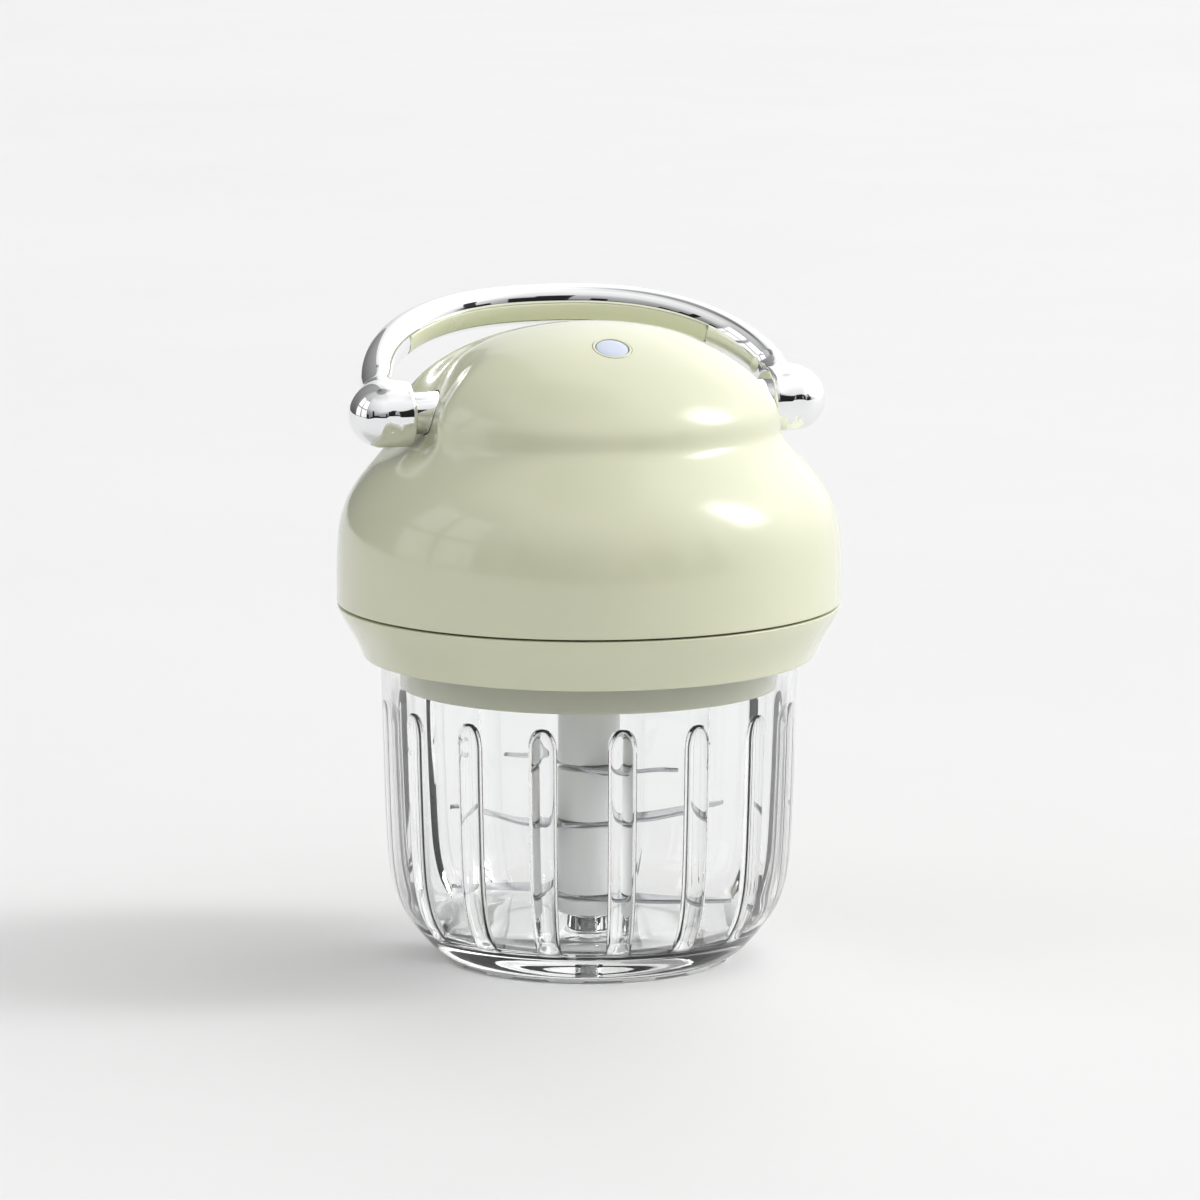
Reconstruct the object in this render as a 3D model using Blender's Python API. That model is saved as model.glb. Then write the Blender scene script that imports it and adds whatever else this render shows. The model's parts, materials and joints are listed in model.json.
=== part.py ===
"""Cordless mini food processor: a round motor head with a chrome bail handle, on a clear ribbed bowl.

Metres, +Z up. The origin is on the table under the middle of the bowl. The handle's pivot axis runs
along X, the front is -Y and the charging port is at the back, +Y.
"""

import math

import bmesh
import bpy
from mathutils import Vector

MM = 0.001
GAP = 0.3 * MM  # clearance between pieces that touch in the real object

# ---------------------------------------------------------------- driving dimensions
# Bowl
BOWL_RADIUS = 59.7 * MM  # outside, at the mouth
BOWL_HEIGHT = 92.0 * MM
BOWL_WALL = 3.0 * MM
BOWL_FLOOR_TOP = 9.3 * MM
BOWL_FOOT_INSET = 17.4 * MM  # how much smaller the bowl is at its foot
BOWL_UNDERSIDE = 1.4 * MM
RIB_COUNT = 16
RIB_HALF_WIDTH = 4.0 * MM
RIB_DEPTH = 2.4 * MM
RIB_TOP_BELOW_RIM = 16.0 * MM
RIB_BOTTOM = 11.0 * MM
FLOOR_BOSS_RADIUS = 6.0 * MM
FLOOR_BOSS_RISE = 2.8 * MM
FOOT_RING_INSET = 1.8 * MM
FOOT_RING_WIDTH = 7.0 * MM
FOOT_PAD_COUNT = 12
FOOT_PAD_DROP = 0.7 * MM

# Blade stack
SPINDLE_RADIUS = 2.4 * MM
SPINDLE_TOP = 27.0 * MM
SPINDLE_SOCKET_DEPTH = 7.0 * MM
BLADE_SHAFT_RADIUS = 4.2 * MM
HUB_RADIUS = 8.85 * MM
HUB_TOP_BELOW_RIM = 8.0 * MM
BLADE_THICKNESS = 1.2 * MM
BLADE_WIDTH = 13.0 * MM
BLADE_EDGE = 2.0 * MM
BLADE_SWEEP = 5.0 * MM
BLADE_STEPS = 5  # sections along each half of a blade
BLADE_LEVELS = (("lower", 18.0 * MM), ("middle", 39.4 * MM), ("upper", 56.1 * MM))
BLADE_TIP_CLEARANCE = {"lower": 13.7 * MM, "middle": 14.2 * MM, "upper": 16.7 * MM}  # to the bowl's wall
BLADE_ANGLES = {"lower": -45.0, "middle": 0.0, "upper": -76.0}
BLADE_TIP_RISE = {  # at the right and left ends, before the blade is turned to its angle
    "lower": (1.0 * MM, -1.5 * MM),
    "middle": (2.0 * MM, 7.0 * MM),
    "upper": (4.0 * MM, -3.0 * MM),
}
HEX_ACROSS_FLATS = 7.8 * MM
HEX_LENGTH = 9.0 * MM
HEX_CHAMFER = 1.0 * MM
DRIVE_END_PLAY = 1.5 * MM  # between the shaft's top and the drive hexagon's end
SHAFT_END_PLAY = 0.6 * MM  # under the shaft and above the spindle

# Motor head
HEAD_OVERHANG = 12.3 * MM  # how far the head stands out past the bowl
SHELL_WALL = 2.5 * MM
SKIRT_LIP = 4.4 * MM  # thickness of the skirt's bottom edge
SKIRT_OVERLAP = 3.9 * MM  # how far the lower shell hangs over the bowl's rim
LOWER_SHELL_HEIGHT = 15.4 * MM
BULGE_HEIGHT = 49.2 * MM
DOME_HEIGHT = 30.8 * MM
DOME_FLOOR_RISE = 1.0 * MM  # the dome's own curve starts this far above the valley
DOME_STEP_X = 15.8 * MM  # how far the dome stands in from the bulge, over the pivots
DOME_STEP_Y = 20.2 * MM  # the same at the front and back
PIVOT_ABOVE_VALLEY = 6.5 * MM
POCKET_BLEND = 15.7 * MM  # width of the sloping sides of the recess for each handle pivot
POCKET_RUN_IN_SHARE = 0.67  # how far below the knob that recess begins, in knob radii
POCKET_RISE = 10.5 * MM  # height over which it reaches its depth
PLUG_CLEARANCE = 2.7 * MM
PLUG_DROP = 12.3 * MM
PLUG_WALL = 2.5 * MM
PLUG_PLATE = 2.2 * MM
SEAL_HEIGHT = 2.4 * MM
SHAFT_SEAL_WIDTH = 4.6 * MM
BOWL_CLEARANCE = 0.6 * MM
HEAD_FLOOR_THICKNESS = 2.2 * MM
CASE_SCREW_REACH = 46.0 * MM  # from the middle of the head
SCREW_RADIUS = 1.2 * MM
SCREW_HEAD_RADIUS = 2.8 * MM
SCREW_HEAD_HEIGHT = 1.8 * MM
SCREW_GRIP = 6.0 * MM  # how far a screw reaches above the floor
CUTTER_REACH = 30.0 * MM  # length of cutters that pass through a wall

# Handle
HANDLE_LEAN = 63.0  # degrees back from upright, at rest
HANDLE_LEG_INSET = 12.0 * MM  # legs in from the bulge's widest point
HANDLE_REACH = 52.6 * MM  # pivot axis to the middle of the grip
HANDLE_SHAPE = 2.4  # superellipse exponent of the bail
BAIL_HALF_WIDTH = 6.2 * MM
BAIL_HALF_THICKNESS = 4.9 * MM
GRIP_HALF_WIDTH = 2.9 * MM
GRIP_THICKNESS = 1.6 * MM
GRIP_END_INSET = 12.0 * MM  # grip insert's ends in from the legs
KNOB_RADIUS = 9.57 * MM
KNOB_LENGTH = 8.25 * MM  # straight part, before its round end
KNOB_INSET = 1.0 * MM  # round end in from the bulge's widest point
KNOB_STANDOFF_SHARE = 0.49  # knob's inner end out from the floor of its recess, in knob radii
AXLE_RADIUS = 6.0 * MM
AXLE_PAST_CLIP = 1.0 * MM
CLIP_THICKNESS = 1.6 * MM
CLIP_RADIAL_WIDTH = 1.6 * MM
CLIP_FREE_PLAY = 0.7 * MM  # between the collar's inner end and the clip
COLLAR_RADIUS = 8.0 * MM
COLLAR_LENGTH = 6.3 * MM
COLLAR_RECESS = 0.6 * MM  # collar's face in from the floor of the recess

# Power button
BUTTON_Y = -22.5 * MM
BUTTON_RADIUS = 4.6 * MM
BUTTON_LENGTH = 5.0 * MM
BUTTON_RING_WIDTH = 0.7 * MM
BUTTON_TRAVEL = 0.8 * MM
BUTTON_CROWN = 0.25 * MM
SWITCH_WIDTH = 6.0 * MM
SWITCH_HEIGHT = 1.8 * MM
BUTTON_BOARD_SIZE = (22.0 * MM, 16.0 * MM)

# Drive
GEAR_MODULE = 1.05 * MM
GEAR_TEETH = 24
PINION_TEETH = 10
GEAR_WIDTH = 6.0 * MM
PRESSURE_ANGLE = math.radians(25.0)
TOOTH_ADDENDUM = 0.8
TOOTH_DEDENDUM = 1.05
BACKLASH = 0.25 * MM
OUTPUT_SHAFT_RADIUS = 4.0 * MM
IDLER_AXLE_RADIUS = 2.0 * MM
MOTOR_SHAFT_RADIUS = 1.6 * MM
MOTOR_RADIUS = 17.5 * MM
MOTOR_LENGTH = 42.0 * MM
MOTOR_CAN_WALL = 1.2 * MM
MOTOR_CAN_FLOOR = 1.5 * MM
MOTOR_NOSE_RADIUS = 3.4 * MM
MOTOR_CAP_HEIGHT = 2.0 * MM
MOTOR_CAP_BOSS_RADIUS = 6.0 * MM
ROTOR_RADIUS = 13.0 * MM
ROTOR_AIR_GAP = 0.8 * MM
ROTOR_END_ROOM = (5.0 * MM, 9.0 * MM)  # under and over the rotor, inside the can
GEARBOX_WALL = 2.0 * MM
GEARBOX_BASE = 2.6 * MM
GEARBOX_CEILING = 2.4 * MM
BEARING_WALL = 4.0 * MM

# Cells, boards and port
CELL_RADIUS = 9.15 * MM
CELL_LENGTH = 50.0 * MM
CELL_SPACING = 19.2 * MM
CELL_MOTOR_GAP = 8.3 * MM
CELL_STEP = 1.5 * MM  # height of a cell's raised contact
TRAY_FLOOR = 1.6 * MM
TRAY_WALL = 1.5 * MM
TRAY_LIP = 7.0 * MM
CAP_WALL = 0.9 * MM
CONTROL_BOARD_SIZE = (40.0 * MM, 34.0 * MM)
CONTROL_BOARD_STANDOFF = 12.0 * MM  # in front of the motor
CHARGING_BOARD_SIZE = (18.0 * MM, 13.0 * MM)
BOARD_THICKNESS = 1.6 * MM
PORT_ABOVE_SPLIT = 9.5 * MM
PORT_WIDTH = 9.2 * MM
PORT_HEIGHT = 3.4 * MM
PORT_DEPTH = 7.4 * MM
FLAP_WIDTH = 14.0 * MM
FLAP_HEIGHT = 7.6 * MM
FLAP_THICKNESS = 1.1 * MM

# ---------------------------------------------------------------- sizes that follow
BOWL_INNER = BOWL_RADIUS - BOWL_WALL
BOWL_FOOT_RADIUS = BOWL_RADIUS - BOWL_FOOT_INSET
FOOT_RING_OUTER = BOWL_FOOT_RADIUS - FOOT_RING_INSET
FOOT_RING_INNER = FOOT_RING_OUTER - FOOT_RING_WIDTH
RIB_TOP = BOWL_HEIGHT - RIB_TOP_BELOW_RIM
HUB_TOP = BOWL_HEIGHT - HUB_TOP_BELOW_RIM
HEAD_RADIUS = BOWL_RADIUS + HEAD_OVERHANG
SKIRT_BOTTOM_RADIUS = BOWL_RADIUS + BOWL_CLEARANCE + SKIRT_LIP
DOME_HALF_X = HEAD_RADIUS - DOME_STEP_X
DOME_HALF_Y = HEAD_RADIUS - DOME_STEP_Y
PLUG_RADIUS = BOWL_INNER - PLUG_CLEARANCE
HANDLE_HALF_SPAN = HEAD_RADIUS - HANDLE_LEG_INSET
KNOB_BALL_X = HEAD_RADIUS - KNOB_INSET - GAP - KNOB_RADIUS
KNOB_INNER_X = KNOB_BALL_X - KNOB_LENGTH
POCKET_FLOOR_X = KNOB_INNER_X - KNOB_STANDOFF_SHARE * KNOB_RADIUS
POCKET_RUN_IN = POCKET_RUN_IN_SHARE * KNOB_RADIUS
COLLAR_FACE_X = POCKET_FLOOR_X - COLLAR_RECESS
COLLAR_END_X = COLLAR_FACE_X - COLLAR_LENGTH
CLIP_X = COLLAR_END_X - CLIP_FREE_PLAY
AXLE_END_X = CLIP_X - CLIP_THICKNESS - AXLE_PAST_CLIP
GRIP_END_X = HANDLE_HALF_SPAN - GRIP_END_INSET
CELL_Y = MOTOR_RADIUS + CELL_MOTOR_GAP + CELL_RADIUS
SKIRT_BOTTOM = BOWL_HEIGHT - SKIRT_OVERLAP
SPLIT = SKIRT_BOTTOM + LOWER_SHELL_HEIGHT
VALLEY = SPLIT + BULGE_HEIGHT
PIVOT_Z = VALLEY + PIVOT_ABOVE_VALLEY
HEAD_FLOOR = BOWL_HEIGHT + 0.4 * MM
HEAD_FLOOR_TOP = HEAD_FLOOR + HEAD_FLOOR_THICKNESS
PORT_Z = SPLIT + PORT_ABOVE_SPLIT
SPINDLE_BASE = BOWL_FLOOR_TOP + FLOOR_BOSS_RISE - SPINDLE_SOCKET_DEPTH
GEARBOX_FLOOR = HEAD_FLOOR_TOP + GAP
GEAR_LOW = GEARBOX_FLOOR + 4.0 * MM
GEAR_HIGH = GEAR_LOW + GEAR_WIDTH + 1.0 * MM
GEARBOX_TOP = GEAR_HIGH + GEAR_WIDTH + 4.0 * MM
MOTOR_BASE = GEARBOX_TOP + GAP
GEAR_CENTRES = GEAR_MODULE * (GEAR_TEETH + PINION_TEETH) / 2


# ---------------------------------------------------------------- materials
def material(name, colour, roughness, metallic=0.0, alpha=1.0, transmission=0.0):
    made = bpy.data.materials.new(name)
    made.use_nodes = True
    shader = made.node_tree.nodes["Principled BSDF"]
    shader.inputs["Base Color"].default_value = (*colour, 1.0)
    shader.inputs["Roughness"].default_value = roughness
    shader.inputs["Metallic"].default_value = metallic
    shader.inputs["Alpha"].default_value = alpha
    shader.inputs["Transmission Weight"].default_value = transmission
    made.diffuse_color = (*colour, alpha)
    return made


FINISHES = {
    "sage_plastic": ((0.66, 0.71, 0.50), 0.12),
    "chrome": ((0.88, 0.88, 0.90), 0.05, 1.0),
    "clear_plastic": ((0.96, 0.97, 0.97), 0.02, 0.0, 0.35, 1.0),
    "clear_rubber": ((0.85, 0.85, 0.84), 0.55),
    "steel": ((0.62, 0.63, 0.64), 0.22, 1.0),
    "white_plastic": ((0.86, 0.86, 0.85), 0.35),
    "seal_rubber": ((0.80, 0.82, 0.74), 0.6),
    "button_blue": ((0.62, 0.67, 0.78), 0.3),
    "grey_plastic": ((0.30, 0.31, 0.32), 0.45),
    "motor_steel": ((0.45, 0.46, 0.48), 0.35, 1.0),
    "rotor_copper": ((0.72, 0.38, 0.20), 0.35, 1.0),
    "gear_acetal": ((0.83, 0.82, 0.76), 0.4),
    "cell_wrap": ((0.16, 0.32, 0.55), 0.3),
    "board_green": ((0.05, 0.25, 0.12), 0.5),
    "black_plastic": ((0.03, 0.03, 0.03), 0.4),
}


# ---------------------------------------------------------------- shared mesh tools
def place(mesh_builder, name, finish, parent=None, location=(0, 0, 0)):
    """Turns a finished bmesh into the named object, faces outward and round surfaces smooth."""
    bmesh.ops.recalc_face_normals(mesh_builder, faces=mesh_builder.faces)
    mesh = bpy.data.meshes.new(name)
    mesh_builder.to_mesh(mesh)
    mesh_builder.free()
    mesh.shade_smooth()
    mesh.set_sharp_from_angle(angle=math.radians(32.0))
    thing = bpy.data.objects.new(name, mesh)
    bpy.context.collection.objects.link(thing)
    thing.location = location
    thing.parent = parent
    mesh.materials.append(material(name, *FINISHES[finish]))
    return thing


def circle(radius, z, count):
    return [
        (radius * math.cos(math.tau * i / count), radius * math.sin(math.tau * i / count), z)
        for i in range(count)
    ]


def join_rows(builder, low, high):
    """Bridges two rings of equal length, or a ring and a single point."""
    if len(low) == 1 and len(high) == 1:
        return
    count = max(len(low), len(high))
    for i in range(count):
        corners = []
        for vert in (low[i % len(low)], low[(i + 1) % len(low)], high[(i + 1) % len(high)], high[i % len(high)]):
            if vert not in corners:
                corners.append(vert)
        builder.faces.new(corners)


def loft(rows, closed=False):
    """Skins rings in order; a closed loft also joins the last ring to the first."""
    builder = bmesh.new()
    made = [[builder.verts.new(point) for point in row] for row in rows]
    for low, high in zip(made, made[1:]):
        join_rows(builder, low, high)
    if closed:
        join_rows(builder, made[-1], made[0])
    else:
        for row in (made[0], made[-1]):
            if len(row) > 1:
                builder.faces.new(row)
    return builder


def turned(profile, count=48):
    """A solid of revolution about Z from (radius, z) pairs; a profile that starts off the axis is a ring."""
    rows = [[(0.0, 0.0, z)] if radius == 0.0 else circle(radius, z, count) for radius, z in profile]
    return loft(rows, closed=profile[0][0] > 0.0)


def ring_profile(inner, outer, low, high):
    return [(inner, low), (outer, low), (outer, high), (inner, high)]


def along_x(builder, x_sign=1):
    """Turns a piece made about Z so that it lies about X, its far end towards x_sign."""
    for vert in builder.verts:
        x, y, z = vert.co
        vert.co = (x_sign * z, y, -x_sign * x)
    return builder


def box(size, centre=(0.0, 0.0, 0.0)):
    builder = bmesh.new()
    bmesh.ops.create_cube(builder, size=1.0)
    for vert in builder.verts:
        vert.co = Vector(vert.co[i] * size[i] + centre[i] for i in range(3))
    return builder


def cut(target, cutters):
    for cutter in cutters:
        cutter.hide_render = True
        cutter.display_type = "WIRE"
        hole = target.modifiers.new("cut_" + cutter.name, "BOOLEAN")
        hole.operation = "DIFFERENCE"
        hole.solver = "EXACT"
        hole.object = cutter


def soften(target, width, segments=2):
    bevel = target.modifiers.new("soft_edges", "BEVEL")
    bevel.width = width
    bevel.segments = segments
    bevel.limit_method = "ANGLE"
    bevel.angle_limit = math.radians(40.0)


def pivot(name, location, tilt_x=0.0):
    mark = bpy.data.objects.new(name, None)
    bpy.context.collection.objects.link(mark)
    mark.location = location
    mark.rotation_euler = (tilt_x, 0.0, 0.0)
    return mark


def smooth_step(value):
    share = min(max(value, 0.0), 1.0)
    return share * share * (3.0 - 2.0 * share)


# ---------------------------------------------------------------- bowl
def bowl_outline():
    """Outer side of the bowl, from the foot to the mouth."""
    return [
        (BOWL_FOOT_RADIUS - 1.2 * MM, BOWL_UNDERSIDE),
        (BOWL_FOOT_RADIUS, BOWL_UNDERSIDE + 0.7 * MM),
        (BOWL_RADIUS - 13.4 * MM, 5.2 * MM),
        (BOWL_RADIUS - 9.2 * MM, 10.2 * MM),
        (BOWL_RADIUS - 4.9 * MM, 16.5 * MM),
        (BOWL_RADIUS - 2.3 * MM, 24.0 * MM),
        (BOWL_RADIUS - 1.2 * MM, 40.0 * MM),
        (BOWL_RADIUS, BOWL_HEIGHT),
    ]


def rib_angles():
    """Where the rings of the bowl have points: closer together on each rib, one between ribs."""
    pitch = math.tau / RIB_COUNT
    half = RIB_HALF_WIDTH / BOWL_INNER
    first = math.radians(-90.0 + 15.0)
    offsets = (-half, -half * 0.55, 0.0, half * 0.55, half, pitch / 2)
    return [(first + rib * pitch + offset, offset / half) for rib in range(RIB_COUNT) for offset in offsets]


def rib_height(across, z):
    """How far a rib stands in from the wall: half-round, with a round top and a run-out at the bottom."""
    if abs(across) >= 1.0:
        return 0.0
    top_drop = RIB_HALF_WIDTH * (1.0 - math.sqrt(1.0 - across * across))
    fade_top = smooth_step((RIB_TOP - top_drop - z) / (2.0 * MM))
    fade_low = smooth_step((z - RIB_BOTTOM) / (8.0 * MM))
    return RIB_DEPTH * math.sqrt(1.0 - across * across) * fade_top * fade_low


def make_bowl():
    angles = rib_angles()

    def row(radius, z, ribbed=False):
        return [
            (
                (radius - (rib_height(across, z) if ribbed else 0.0)) * math.cos(angle),
                (radius - (rib_height(across, z) if ribbed else 0.0)) * math.sin(angle),
                z,
            )
            for angle, across in angles
        ]

    outer = bowl_outline()
    inner = [
        (BOWL_INNER, BOWL_HEIGHT),
        (BOWL_INNER, RIB_TOP + 1.0 * MM),
        (BOWL_INNER, RIB_TOP - 3.0 * MM),
        (BOWL_INNER, RIB_TOP - 8.0 * MM),
        (BOWL_INNER - 1.0 * MM, 40.0 * MM),
        (BOWL_INNER - 2.0 * MM, 25.0 * MM),
        (BOWL_INNER - 4.8 * MM, BOWL_FLOOR_TOP + 7.5 * MM),
        (BOWL_INNER - 9.5 * MM, BOWL_FLOOR_TOP),
    ]
    boss_top = BOWL_FLOOR_TOP + FLOOR_BOSS_RISE
    socket = SPINDLE_RADIUS + GAP
    rows = [[(0.0, 0.0, BOWL_UNDERSIDE)]]
    rows += [row(radius, z) for radius, z in outer]
    rows += [row(radius, z, ribbed=True) for radius, z in inner]
    rows += [row(FLOOR_BOSS_RADIUS, BOWL_FLOOR_TOP), row(FLOOR_BOSS_RADIUS - 1.0 * MM, boss_top)]
    rows += [row(socket, boss_top), row(socket, SPINDLE_BASE), [(0.0, 0.0, SPINDLE_BASE)]]
    place(loft(rows), "glass_bowl", "clear_plastic")
    make_foot_ring()
    spindle_foot = SPINDLE_BASE + GAP
    spindle = [
        (0.0, spindle_foot),
        (SPINDLE_RADIUS, spindle_foot),
        (SPINDLE_RADIUS, SPINDLE_TOP - 1.0 * MM),
        (SPINDLE_RADIUS - 1.0 * MM, SPINDLE_TOP),
        (0.0, SPINDLE_TOP),
    ]
    place(turned(spindle, 16), "spindle_pin", "steel")


def make_foot_ring():
    """A soft ring under the bowl: twelve pads joined by a thin web."""
    steps = 4 * FOOT_PAD_COUNT
    web_low = FOOT_PAD_DROP
    web_high = BOWL_UNDERSIDE - GAP

    def low_row(radius):
        return [
            (x, y, 0.0 if (i // 2) % 2 == 0 else web_low) for i, (x, y, _) in enumerate(circle(radius, 0.0, steps))
        ]

    rows = [
        low_row(FOOT_RING_INNER),
        low_row(FOOT_RING_OUTER),
        circle(FOOT_RING_OUTER, web_high, steps),
        circle(FOOT_RING_INNER, web_high, steps),
    ]
    place(loft(rows, closed=True), "foot_ring", "clear_rubber")


# ---------------------------------------------------------------- blade stack
def blade_section(along, low_y, high_y, low_edge, high_edge, lift):
    """Six points round the strip; an edge width above zero grinds that side to a knife edge."""
    half = BLADE_THICKNESS / 2
    return [
        (along, low_y + low_edge, lift - half),
        (along, high_y - high_edge, lift - half),
        (along, high_y, lift),
        (along, high_y - high_edge, lift + half),
        (along, low_y + low_edge, lift + half),
        (along, low_y, lift),
    ]


def make_blade(label, level, hole_cutter):
    """A strip through the hub: each half is swept, ground on its leading edge and bent at its tip."""
    rise_right, rise_left = BLADE_TIP_RISE[label]
    span = BOWL_INNER - BLADE_TIP_CLEARANCE[label]
    rows = []
    for i in range(-BLADE_STEPS, BLADE_STEPS + 1):
        share = i / BLADE_STEPS
        bend = smooth_step((abs(share) - 0.35) / 0.65)
        lift = (rise_right if share > 0 else rise_left) * bend
        half_width = BLADE_WIDTH / 2 * (1.0 - 0.35 * abs(share) - 0.45 * abs(share) ** 4)
        sweep = BLADE_SWEEP * share * abs(share)
        edges = (0.0, 0.0)
        if abs(share) > 0.3:
            edges = (0.0, BLADE_EDGE) if share > 0 else (BLADE_EDGE, 0.0)
        rows.append(blade_section(span * share, sweep - half_width, sweep + half_width, *edges, lift))
    blade = place(loft(rows), f"{label}_blade", "steel", location=(0, 0, level))
    blade.rotation_euler = (0.0, 0.0, math.radians(BLADE_ANGLES[label]))
    cut(blade, [hole_cutter])


def hexagon(z, count, across_flats=HEX_ACROSS_FLATS):
    """A hexagon sampled at the same angles as a circle, so the two can be bridged."""
    points = []
    for i in range(count):
        angle = math.tau * i / count
        from_flat = (angle + math.pi / 6) % (math.pi / 3) - math.pi / 6
        radius = across_flats / 2 / math.cos(from_flat)
        points.append((radius * math.cos(angle), radius * math.sin(angle), z))
    return points


def make_blades():
    count = 24
    shaft_foot = BOWL_FLOOR_TOP + FLOOR_BOSS_RISE + SHAFT_END_PLAY
    shaft_top = HUB_TOP - HEX_LENGTH - DRIVE_END_PLAY
    bore = SPINDLE_RADIUS + GAP
    shaft = [
        (bore, shaft_foot),
        (BLADE_SHAFT_RADIUS, shaft_foot),
        (BLADE_SHAFT_RADIUS, shaft_top),
        (0.0, shaft_top),
        (0.0, SPINDLE_TOP + SHAFT_END_PLAY),
        (bore, SPINDLE_TOP + SHAFT_END_PLAY),
    ]
    rows = [[(0.0, 0.0, z)] if radius == 0.0 else circle(radius, z, 24) for radius, z in shaft]
    builder = bmesh.new()
    rings = [[builder.verts.new(point) for point in row] for row in rows]
    for low, high in ((0, 1), (1, 2), (2, 3), (4, 5), (5, 0)):
        join_rows(builder, rings[low], rings[high])
    place(builder, "blade_shaft", "steel")

    around_shaft = BLADE_SHAFT_RADIUS + GAP
    hole = place(turned([(0.0, 0.0), (around_shaft, 0.0), (around_shaft, HUB_TOP), (0.0, HUB_TOP)], 24),
                 "blade_hole_cutter", "steel")
    for label, level in BLADE_LEVELS:
        make_blade(label, level, hole)

    clear = BLADE_THICKNESS / 2 + GAP
    levels = [level for _, level in BLADE_LEVELS]
    place(turned(ring_profile(around_shaft, HUB_RADIUS, shaft_foot, levels[0] - clear), 24), "hub_foot",
          "white_plastic")
    for name, low, high in (("hub_spacer_lower", levels[0], levels[1]), ("hub_spacer_upper", levels[1], levels[2])):
        place(turned(ring_profile(around_shaft, HUB_RADIUS, low + clear, high - clear), 24), name, "white_plastic")

    crown_foot = levels[2] + clear
    socket_flats = HEX_ACROSS_FLATS + 2 * GAP
    socket_floor = shaft_top + 0.8 * MM
    rows = [
        circle(around_shaft, crown_foot, count),
        circle(HUB_RADIUS, crown_foot, count),
        circle(HUB_RADIUS, HUB_TOP - 1.0 * MM, count),
        circle(HUB_RADIUS - 1.0 * MM, HUB_TOP, count),
        hexagon(HUB_TOP, count, socket_flats),
        hexagon(socket_floor, count, socket_flats),
        circle(around_shaft, socket_floor - 0.4 * MM, count),
    ]
    place(loft(rows, closed=True), "hub_crown", "white_plastic")


# ---------------------------------------------------------------- head shells
def bulge_outline():
    """Side of the lower bulge in the handle's plane, from the split line up to the valley."""
    return [
        (HEAD_RADIUS, SPLIT + GAP),
        (HEAD_RADIUS, SPLIT + 0.26 * BULGE_HEIGHT),
        (HEAD_RADIUS - 0.5 * MM, SPLIT + 0.44 * BULGE_HEIGHT),
        (HEAD_RADIUS - 2.2 * MM, SPLIT + 0.57 * BULGE_HEIGHT),
        (HEAD_RADIUS - 6.3 * MM, SPLIT + 0.705 * BULGE_HEIGHT),
        (HEAD_RADIUS - 12.0 * MM, SPLIT + 0.84 * BULGE_HEIGHT),
        (DOME_HALF_X + 1.0 * MM, SPLIT + 0.95 * BULGE_HEIGHT),
        (DOME_HALF_X - 0.7 * MM, VALLEY),
    ]


def dome_radius(height_share, angle):
    """Radius of the upper dome at a share of its height: flatter over X, rounder towards front and back."""
    towards_y = math.sin(angle) ** 2
    half = DOME_HALF_X + (DOME_HALF_Y - DOME_HALF_X) * towards_y
    power = 2.0 - 0.4 * towards_y
    falloff = 1.0 / power + (0.5 - 1.0 / power) * height_share**8
    return half * max(1.0 - height_share**power, 0.0) ** falloff


def pocket(angle, z):
    """How deep the recess for each handle pivot is, measured inward from the round surface."""
    pivot_share = (PIVOT_ABOVE_VALLEY - DOME_FLOOR_RISE) / (DOME_HEIGHT - DOME_FLOOR_RISE)
    depth = dome_radius(pivot_share, 0.0) - POCKET_FLOOR_X
    from_axis = abs((angle + math.pi / 2) % math.pi - math.pi / 2)
    flat = (KNOB_RADIUS - 0.8 * MM) / DOME_HALF_X
    across = 1.0 - smooth_step((from_axis - flat) / (POCKET_BLEND / DOME_HALF_X))
    rising = smooth_step((z - (PIVOT_Z - KNOB_RADIUS - POCKET_RUN_IN)) / POCKET_RISE)
    fading = 1.0 - smooth_step((z - PIVOT_Z - 5.0 * MM) / (DOME_HEIGHT - PIVOT_ABOVE_VALLEY - 6.0 * MM))
    return depth * across * rising * fading


def head_row(z, base_radius, wall, count, dome_share=None):
    """One ring of the upper shell. Below the valley base_radius is the ring's own, above it the dome's is used."""
    row = []
    for i in range(count):
        angle = math.tau * i / count
        if dome_share is None:
            narrowing = smooth_step((z - VALLEY + 13.0 * MM) / (13.0 * MM)) * math.sin(angle) ** 2
            radius = base_radius + (DOME_HALF_Y - DOME_HALF_X) * narrowing
        else:
            radius = dome_radius(dome_share, angle)
        radius = max(radius - pocket(angle, z), 0.2 * MM) - wall
        row.append((radius * math.cos(angle), radius * math.sin(angle), z))
    return row


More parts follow.
